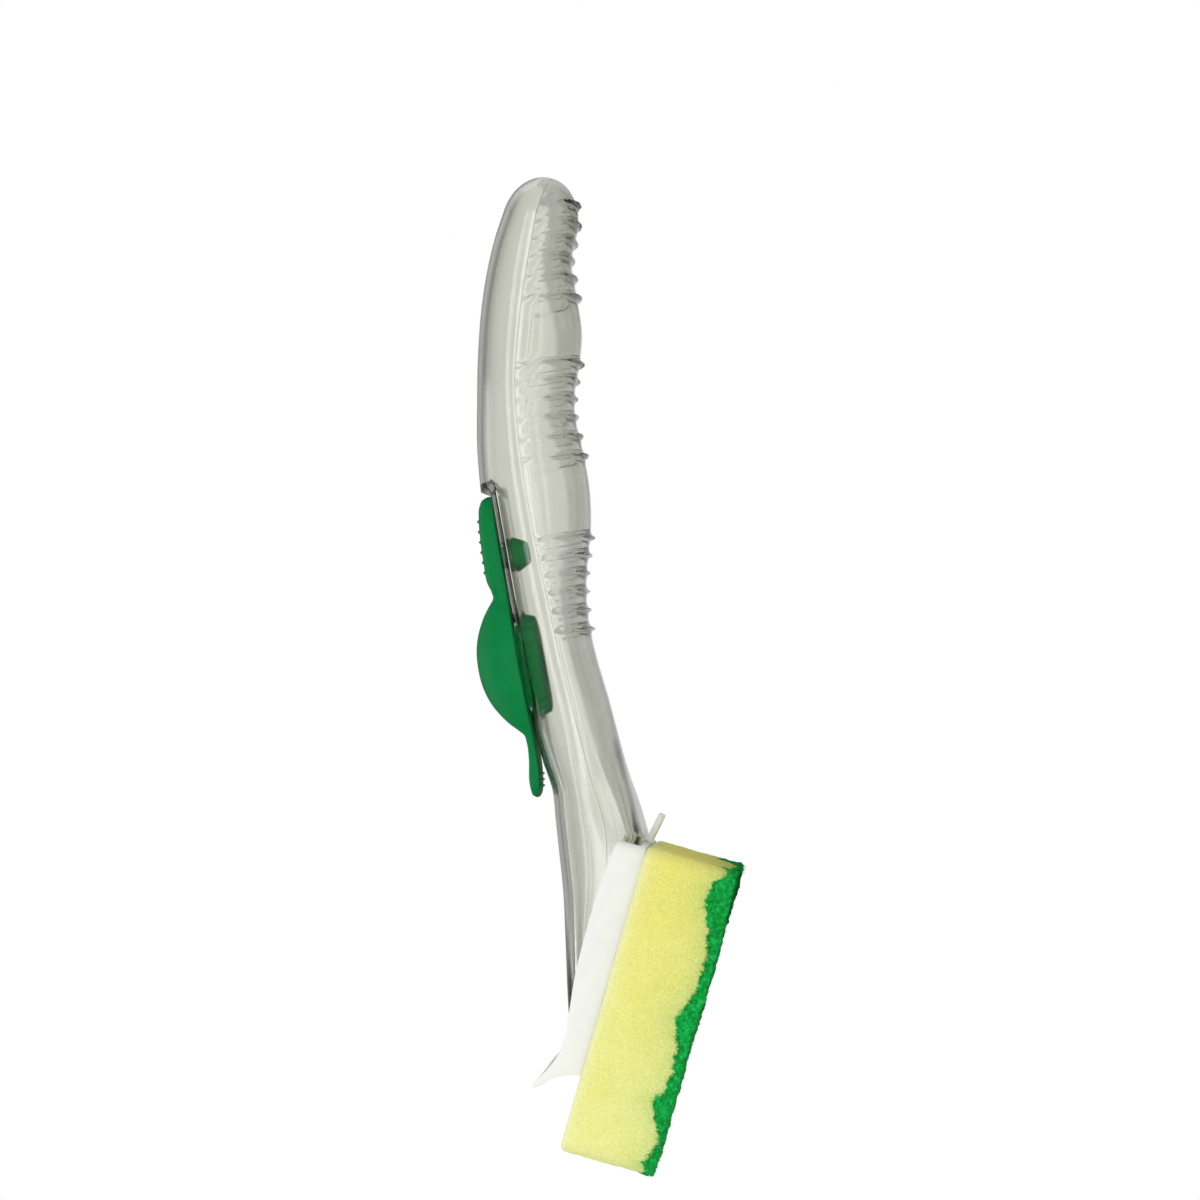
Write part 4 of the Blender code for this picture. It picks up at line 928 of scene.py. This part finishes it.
tip = [(min(TONGUE_X[2], x), y) for x, y in arc((TONGUE_X[1], 0), TONGUE_HALF, -90, 90, 24)]
outline = [(TONGUE_X[0], -TONGUE_HALF)] + tip + [(TONGUE_X[0], TONGUE_HALF)]
droop = Matrix.Translation((0, 0, BASE_FLOOR_UNDER)) @ Matrix.Rotation(TONGUE_DROOP, 4, "Y")
tongue = bevelled(prism("tongue", outline, 0.0, TONGUE_THICKNESS, HEAD @ droop), TONGUE_EDGE, 50.0)
dressed(tongue, WHITE, "tab", "white_plastic", "release_tab")

# Foam and scour layer

SPONGE_LENGTH = 86.6 * MM
SPONGE_HALF = 28.5 * MM
SCOUR_OUTER = -26.5 * MM
SPONGE_CORNER = 5.0 * MM
FOAM_INSET = 0.05 * MM
FOAM_TOP = 0.25 * MM
FOAM_EDGES = (0.1 * MM, 1.6 * MM)
FOAM_SINK = 0.55 * MM
SCOUR_INSET = 0.1 * MM
SCOUR_EDGES = (0.5 * MM, 0.1 * MM)
SCOUR_SINK = 0.5 * MM
BORDER_LIMITS = (-25.3 * MM, -18.3 * MM)
BORDER_BLEND = 0.9 * MM
BORDER_EVEN = 14 * MM
SCOUR_FACE_LIFT = 0.35 * MM
STAIN_SPREAD = 2.8 * MM
BASE_FADE = 1.8 * MM
FOAM_GRID = (0.6 * MM, 40)
SCOUR_GRID = (0.5 * MM, 14)
PIT_CELL = 1.15 * MM
PIT_DEPTH = 0.34 * MM
STRANDS = 4600
STRAND_SEED = 77
STRAND_INSET = 0.15 * MM
STRAND_MARGIN = 2 * MM
STRAND_CORNER = 4 * MM
STRAND_CURL = 1.6
# Ranges in millimetres
STRAND_RADIUS = (0.07, 0.13)
STRAND_LENGTH = (0.9, 2.4)
STRAND_BOW = (0.02, 0.24)
# Noises: cell size, height and seed, sizes in millimetres
BORDER_DRIFT = ((17.0, 14.0, 5),)
BORDER_WAVE = ((6.0, 1.3, 8),)
BORDER_FINE = ((2.2, 0.55, 3), (0.9, 0.5, 4))
FOAM_UNEVEN = ((9.0, 0.22, 22), (3.0, 0.08, 23))
SCOUR_LUMPS = ((2.4, 0.26, 31), (1.2, 0.34, 32), (0.6, 0.24, 33))
SCOUR_WAVE = ((12.0, 0.55, 41), (3.4, 0.25, 42))
boundary_line = line(scaled([
    (-86.6, -23.2), (-83.6, -22.7), (-80, -24.4), (-75.9, -25.2), (-71, -23.6), (-66.5, -20.9),
    (-62.5, -22.9), (-58, -24.1), (-51, -23.4), (-46, -21.6), (-42.6, -20.6), (-38, -22.6),
    (-29.6, -24.2), (-22, -23.4), (-15.2, -21.6), (-10.5, -19.9), (-6.4, -19.4), (-2.6, -21.8),
    (-1.1, -23.5), (0, -24.2)]))


def hash_lattice(i, j, k, seed):
    """Repeatable numbers from 0 to 1 at whole-number places."""
    n = (i * 73856093) ^ (j * 19349663) ^ (k * 83492791) ^ (seed * 2654435761)
    n = (n ^ (n >> 13)) * 1274126177
    n = n & 0x7FFFFFFF
    n = (n ^ (n >> 16)) & 0xFFFF
    return n / 65535.0


def value_noise(points, cell, seed):
    """Smooth noise from -1 to 1 at an array of points."""
    q = points / cell
    base = np.floor(q).astype(np.int64)
    f = q - base
    f = f * f * (3 - 2 * f)
    total = np.zeros(len(points))
    for corner in np.ndindex(2, 2, 2):
        weight = np.where(corner, f, 1 - f).prod(axis=1)
        total += weight * hash_lattice(*(base + corner).T, seed)
    return total * 2 - 1


def noises(points, layers):
    """Sum of smooth noises, each with its cell size, height and seed."""
    return sum(value_noise(points, cell * MM, seed) * height * MM for cell, height, seed in layers)


def cell_noise(points, cell, seed):
    """Distance to the nearest of scattered points, as a share of the cell size."""
    q = points / cell
    base = np.floor(q).astype(np.int64)
    best = np.full(len(points), 9.0)
    for corner in np.ndindex(3, 3, 3):
        at = base + corner - 1
        spot = at + np.stack([hash_lattice(*at.T, seed + step) for step in (0, 7, 13)], axis=1)
        best = np.minimum(best, ((q - spot) ** 2).sum(axis=1))
    return np.sqrt(best)


def boundary(points):
    """Height of the wavy border between foam and scour layer at the plan place of each point."""
    place = points * (1, 1, 0) + (0, SPONGE_HALF, 0)
    away = ease(points[:, 1], -SPONGE_HALF, -SPONGE_HALF + BORDER_EVEN)
    drift = noises(place, BORDER_DRIFT) * away
    wave = boundary_line(np.clip(points[:, 0] + drift, -SPONGE_LENGTH, 0)) + noises(place, BORDER_WAVE) * away
    return np.clip(wave + noises(place, BORDER_FINE), *BORDER_LIMITS)


def block_grid(x_low, x_high, half, spacing, layers):
    """Closed box grid: unit heights in the third column, faces as quads."""
    nx = max(2, round((x_high - x_low) / spacing))
    ny = max(2, round(2 * half / spacing))
    ids, verts, faces = {}, [], []

    def vert(i, j, k):
        key = (i, j, k)
        if key not in ids:
            ids[key] = len(verts)
            verts.append((x_low + (x_high - x_low) * i / nx, -half + 2 * half * j / ny, k / layers))
        return ids[key]

    for i in range(nx):
        for j in range(ny):
            for k in (0, layers):
                faces.append([vert(i, j, k), vert(i + 1, j, k), vert(i + 1, j + 1, k), vert(i, j + 1, k)])
    for k in range(layers):
        for i in range(nx):
            for j in (0, ny):
                faces.append([vert(i, j, k), vert(i + 1, j, k), vert(i + 1, j, k + 1), vert(i, j, k + 1)])
        for j in range(ny):
            for i in (0, nx):
                faces.append([vert(i, j, k), vert(i, j + 1, k), vert(i, j + 1, k + 1), vert(i, j, k + 1)])
    return np.array(verts), faces


def core(points, x_low, x_high, half):
    """Nearest place to each point in the middle of a box, clear of its round corners."""
    corner = SPONGE_CORNER
    return np.clip(points[:, :2], (x_low + corner, corner - half), (x_high - corner, half - corner))


def round_plan(points, *plan):
    """Pull a box's upright edges in to round corners."""
    centre = core(points, *plan)
    offset = points[:, :2] - centre
    longest = np.abs(offset).max(axis=1, keepdims=True)
    length = np.maximum(np.hypot(*offset.T), 1e-12)[:, None]
    return np.column_stack([centre + offset / length * longest, points[:, 2]])


def edge_depth(points, x_low, x_high, half):
    """Distance from the outline, inwards."""
    qx = np.abs(points[:, 0] - (x_low + x_high) / 2) - ((x_high - x_low) / 2 - SPONGE_CORNER)
    qy = np.abs(points[:, 1]) - (half - SPONGE_CORNER)
    outside = np.hypot(np.maximum(qx, 0), np.maximum(qy, 0))
    return SPONGE_CORNER - (outside + np.minimum(np.maximum(qx, qy), 0))


def read_points(mesh, name):
    """Array of one vector of each point of a mesh."""
    values = np.zeros(len(mesh.vertices) * 3)
    mesh.vertices.foreach_get(name, values)
    return values.reshape(-1, 3)


def sponge_layer(name, inset, low, high, grid, edge, rough):
    """Soft block between two height functions, with round corners, soft edges and a rough skin."""
    plan = (-SPONGE_LENGTH + inset, -inset, SPONGE_HALF - inset)
    points, faces = block_grid(*plan, *grid)
    flat = round_plan(points, *plan)
    bottom, top = low(flat), high(flat)
    flat[:, 2] = bottom + (top - bottom) * flat[:, 2]
    depth = edge_depth(flat, *plan)
    for level, sign, radius in ((top, 1, edge[1]), (bottom, -1, edge[0])):
        near_edge = np.clip(1 - depth / radius, 0, 1)
        near_level = np.clip(1 - sign * (level - flat[:, 2]) / radius, 0, 1)
        length = np.maximum(np.hypot(near_edge, near_level), 1e-9)
        longest = np.maximum(near_edge, near_level)
        pull = (1 - longest / length) * radius
        both = (near_edge > 0) & (near_level > 0)
        flat[:, 2] -= np.where(both, sign * pull * near_level, 0)
        inward = core(flat, *plan) - flat[:, :2]
        norm = np.maximum(np.linalg.norm(inward, axis=1), 1e-9)
        flat[:, :2] += inward * (np.where(both, pull * near_edge, 0) / norm)[:, None]
    obj = mesh_object(name, flat, faces, Matrix.Identity(4), 180.0)
    mesh = obj.data
    place = read_points(mesh, "co")
    place += read_points(mesh, "normal") * rough(place)[:, None]
    mesh.vertices.foreach_set("co", place.ravel())
    mesh.transform(HEAD)
    mesh.update()
    return obj


def foam_skin(points):
    """Pits of the foam's open cells and a slight unevenness of the cut faces."""
    uneven = noises(points, FOAM_UNEVEN) * ease(-points[:, 2], 0.5 * MM, 3 * MM)
    pits = PIT_DEPTH * np.clip(0.62 - cell_noise(points, PIT_CELL, 21), 0, 1)
    sunk = ease(boundary(points) + BORDER_BLEND - points[:, 2], 0, 2 * BORDER_BLEND)
    return uneven - pits - FOAM_SINK * sunk


def scour_skin(points):
    """Tangled, lumpy skin of the scouring fibre."""
    sunk = ease(points[:, 2] - boundary(points) + BORDER_BLEND, 0, 2 * BORDER_BLEND)
    return noises(points, SCOUR_LUMPS) - SCOUR_SINK * sunk


foam = sponge_layer("foam_block", FOAM_INSET, lambda points: boundary(points) - BORDER_BLEND,
                    lambda points: np.full(len(points), FOAM_TOP), FOAM_GRID, FOAM_EDGES, foam_skin)
back_to_head = np.array(HEAD.inverted())
local = read_points(foam.data, "co") @ back_to_head[:3, :3].T + back_to_head[:3, 3]
above = local[:, 2] - boundary(local)
for name, away, fade in (("near_scour", above, STAIN_SPREAD), ("near_base", -local[:, 2], BASE_FADE)):
    near = foam.data.attributes.new(name, "FLOAT", "POINT")
    near.data.foreach_set("value", np.exp(-np.maximum(away, 0) / fade))
dressed(foam, FOAM, "refill", "yellow_foam", "sponge_foam")


def scour_outer(points):
    """Height of the scour layer's outer face, slightly wavy, at the plan place of each point."""
    return SCOUR_OUTER + SCOUR_FACE_LIFT + noises(points * (1, 1, 0), SCOUR_WAVE)


def side_point(along, half_length, half_width):
    """Point on the upright sides of the block and the outward direction there."""
    for out_x, out_y in ((0, -1), (1, 0), (0, 1), (-1, 0)):
        half, depth = (half_width, half_length) if out_x else (half_length, half_width)
        if along < 2 * half:
            break
        along -= 2 * half
    x = -SPONGE_LENGTH / 2 + out_x * depth - out_y * (along - half)
    y = out_y * depth + out_x * (along - half)
    return Vector((x, y, 0)), Vector((out_x, out_y, 0))


def strand(verts, faces, start, heading, out, length, radius, bow, curl):
    """Add one thin three-sided fibre that bows out of the surface and comes back to it."""
    steps = 5
    side = out.cross(heading).normalized()
    base = len(verts)
    for i in range(steps + 1):
        t = i / steps
        turn = heading * math.cos(curl * t) + side * math.sin(curl * t)
        centre = start + turn * (length * t) + out * (bow * math.sin(math.pi * t) - 0.1 * MM)
        across = turn.cross(out).normalized()
        size = radius * (1 - 0.75 * t * t)
        for k in range(3):
            angle = 2 * math.pi * k / 3
            verts.append(centre + (across * math.cos(angle) + out * math.sin(angle)) * size)
    last = base + steps * 3
    for first in range(base, last, 3):
        faces.extend(band(first, first + 3, 3))
    faces.extend([end, end + 1, end + 2] for end in (base, last))


def strands(name, count, seed):
    """Loose fibres round the edge of the scour layer, some over the border with the foam, and on its face."""
    generator = np.random.default_rng(seed)
    verts, faces = [], []
    half_length, half_width = SPONGE_LENGTH / 2 - STRAND_INSET, SPONGE_HALF - STRAND_INSET
    perimeter = 4 * (half_length + half_width)
    spots = [side_point(generator.uniform(0, perimeter), half_length, half_width) for _ in range(count)]
    on_side = np.array([tuple(point) for point, _out in spots])
    edges = boundary(on_side)
    on_face = np.stack([generator.uniform(-SPONGE_LENGTH + STRAND_MARGIN, -STRAND_MARGIN, count),
                        generator.uniform(-SPONGE_HALF + STRAND_MARGIN, SPONGE_HALF - STRAND_MARGIN, count),
                        np.zeros(count)], axis=1)
    on_face[:, 2] = scour_outer(on_face)
    for i in range(count):
        radius = generator.uniform(*STRAND_RADIUS) * MM
        length = generator.uniform(*STRAND_LENGTH) * MM
        angle = generator.uniform(0, 2 * math.pi)
        curl = generator.uniform(-STRAND_CURL, STRAND_CURL)
        bow = generator.uniform(*STRAND_BOW) * MM
        if i % 4 == 3:
            start = Vector(on_face[i])
            inwards = Vector((-SPONGE_LENGTH / 2, 0, start.z)) - start
            heading = Vector((math.cos(angle), math.sin(angle), 0))
            if heading.dot(inwards) < 0:
                heading = -heading
            strand(verts, faces, start, heading, Vector((0, 0, -1)), length, radius, bow, curl / 2)
            continue
        point, out = spots[i]
        to_end = min(abs(point.x), abs(point.x + SPONGE_LENGTH))
        if to_end < STRAND_CORNER and abs(point.y) > SPONGE_HALF - STRAND_CORNER:
            continue
        edge = edges[i]
        share = generator.uniform(0, 1)
        if i % 4 == 0:
            point.z = edge + generator.uniform(-0.5, 0.35) * MM
            angle = generator.uniform(0.15, math.pi - 0.15)
            length *= 0.62
        else:
            point.z = SCOUR_OUTER + (edge - SCOUR_OUTER) * share
        if point.z + length * math.sin(angle) < SCOUR_OUTER + 0.4 * MM:
            angle = -angle
            curl *= 0.3
        along = Vector((0, 0, 1)).cross(out)
        heading = along * math.cos(angle) + Vector((0, 0, 1)) * math.sin(angle)
        strand(verts, faces, point, heading, out, length, radius, bow, curl)
    return mesh_object(name, verts, faces, HEAD, 180.0)


pad = sponge_layer("pad", SCOUR_INSET, scour_outer, lambda points: boundary(points) + BORDER_BLEND,
                   SCOUR_GRID, SCOUR_EDGES, scour_skin)
scour = joined("scour_pad", [pad, strands("strands", STRANDS, STRAND_SEED)])
dressed(scour, SCOUR, "refill", "green_scour", "scour_layer")


# Stage, light and camera

def floor_material():
    """Pale floor with a painted glow that rises far off until it is white, is seen from above and is clear
    from beneath.
    """
    look = Look(bpy.data.materials.new("floor"))
    reach = look.out("VectorMath", "Value", {0: look.out("TexCoord", "Object")}, operation="LENGTH")
    look.feed(look.shader, {
        "Base Color": (0.86, 0.86, 0.86, 1.0),
        "Roughness": 0.9,
        "Specular IOR Level": 0.1,
        # Painted light: the floor glows more and more from 0.4 m to 1.5 m out, so it fades into the white
        # world
        "Emission Color": (1.0, 1.0, 1.0, 1.0),
        "Emission Strength": look.spread(reach, 0.0, 0.55, 0.4, 1.5)})
    clear = look.out("BsdfTransparent", "BSDF", {"Color": (1.0, 1.0, 1.0, 1.0)})
    beneath = look.out("NewGeometry", "Backfacing")
    return look.finish(look.either(beneath, look.shader.outputs["BSDF"], clear))


FLOOR_HALF = 3.0
corners = [(x * FLOOR_HALF, y * FLOOR_HALF, 0) for x, y in ((-1, -1), (1, -1), (1, 1), (-1, 1))]
stage = placed("floor", bpy.data.meshes.new("floor"))
stage.data.from_pydata(corners, [], [(0, 1, 2, 3)])
stage.data.materials.append(floor_material())


def studio():
    """White world: full strength for the camera, lower for the light that falls on the object."""
    look = Look(bpy.data.worlds.new("studio"))
    look.nodes.clear()

    def glow(strength):
        return look.out("Background", "Background", {"Color": (1.0, 1.0, 1.0, 1.0), "Strength": strength})

    # Clear plastic shows white at the horizon and grey overhead and underneath, which draws its outlines
    direction = look.out("TexCoord", "Generated")
    height = look.maths("ABSOLUTE", look.out("SeparateXYZ", "Z", {"Vector": direction}))
    bent = glow(look.spread(height, 1.0, 0.34, 0.22, 0.62))
    shiny = look.either(look.out("LightPath", "Is Glossy Ray"), glow(0.56), glow(0.30))
    through = look.either(look.out("LightPath", "Is Transmission Ray"), shiny, bent)
    return look.finish(look.either(look.out("LightPath", "Is Camera Ray"), through, glow(1.0)))


bpy.context.scene.world = studio()


def softbox(name, place, aim, size, power_w):
    """Area light that points at a place."""
    data = bpy.data.lights.new(name, "AREA")
    data.shape = "RECTANGLE"
    data.size, data.size_y = size
    data.energy = power_w
    lamp = placed(name, data)
    lamp.location = place
    lamp.rotation_mode = "QUATERNION"
    lamp.rotation_quaternion = (Vector(aim) - Vector(place)).to_track_quat("-Z", "Y")


softbox("key", (0.03, -0.95, 0.42), (0, 0, 0.03), (1.4, 0.14), 2.5)
softbox("front", (0.03, -1.15, 0.10), (0, 0, 0.04), (1.4, 0.18), 3.3)
softbox("top", (0.0, 0.18, 0.95), (0, 0, 0.03), (0.9, 0.5), 2.0)

camera_data = bpy.data.cameras.new("camera")
camera = placed("camera", camera_data)
# Photograph: optical axis at pixel (795, 748) of 1200, 0.7 m from the wand's middle plane
CAMERA_DISTANCE = 0.700
PIXEL = 0.283 * MM
IMAGE = 1200
SENSOR = 36.0
AXIS_PIXEL = (795, 748)
HEAD_PIXEL = (653.25, 842.5)
ROLL = math.radians(16.06)
camera_data.sensor_width = SENSOR
camera_data.lens = SENSOR * CAMERA_DISTANCE / (IMAGE * PIXEL)
camera_data.shift_x = 0.5 - AXIS_PIXEL[0] / IMAGE
camera_data.shift_y = AXIS_PIXEL[1] / IMAGE - 0.5
# Directions in the head's frame: image right and image up
right = Vector((math.sin(ROLL), 0.0, -math.cos(ROLL)))
up = Vector((math.cos(ROLL), 0.0, math.sin(ROLL)))
offset = right * (AXIS_PIXEL[0] - HEAD_PIXEL[0]) * PIXEL - up * (AXIS_PIXEL[1] - HEAD_PIXEL[1]) * PIXEL
eye = HEAD @ (offset + Vector((0.0, -CAMERA_DISTANCE, 0.0)))
right_w, up_w = TURN.to_3x3() @ right, TURN.to_3x3() @ up
turn = Matrix((right_w, up_w, right_w.cross(up_w))).transposed().to_4x4()
camera.matrix_world = Matrix.Translation(eye) @ turn
camera_data.clip_start = 0.01
bpy.context.scene.camera = camera
bpy.context.scene.view_settings.view_transform = "Standard"
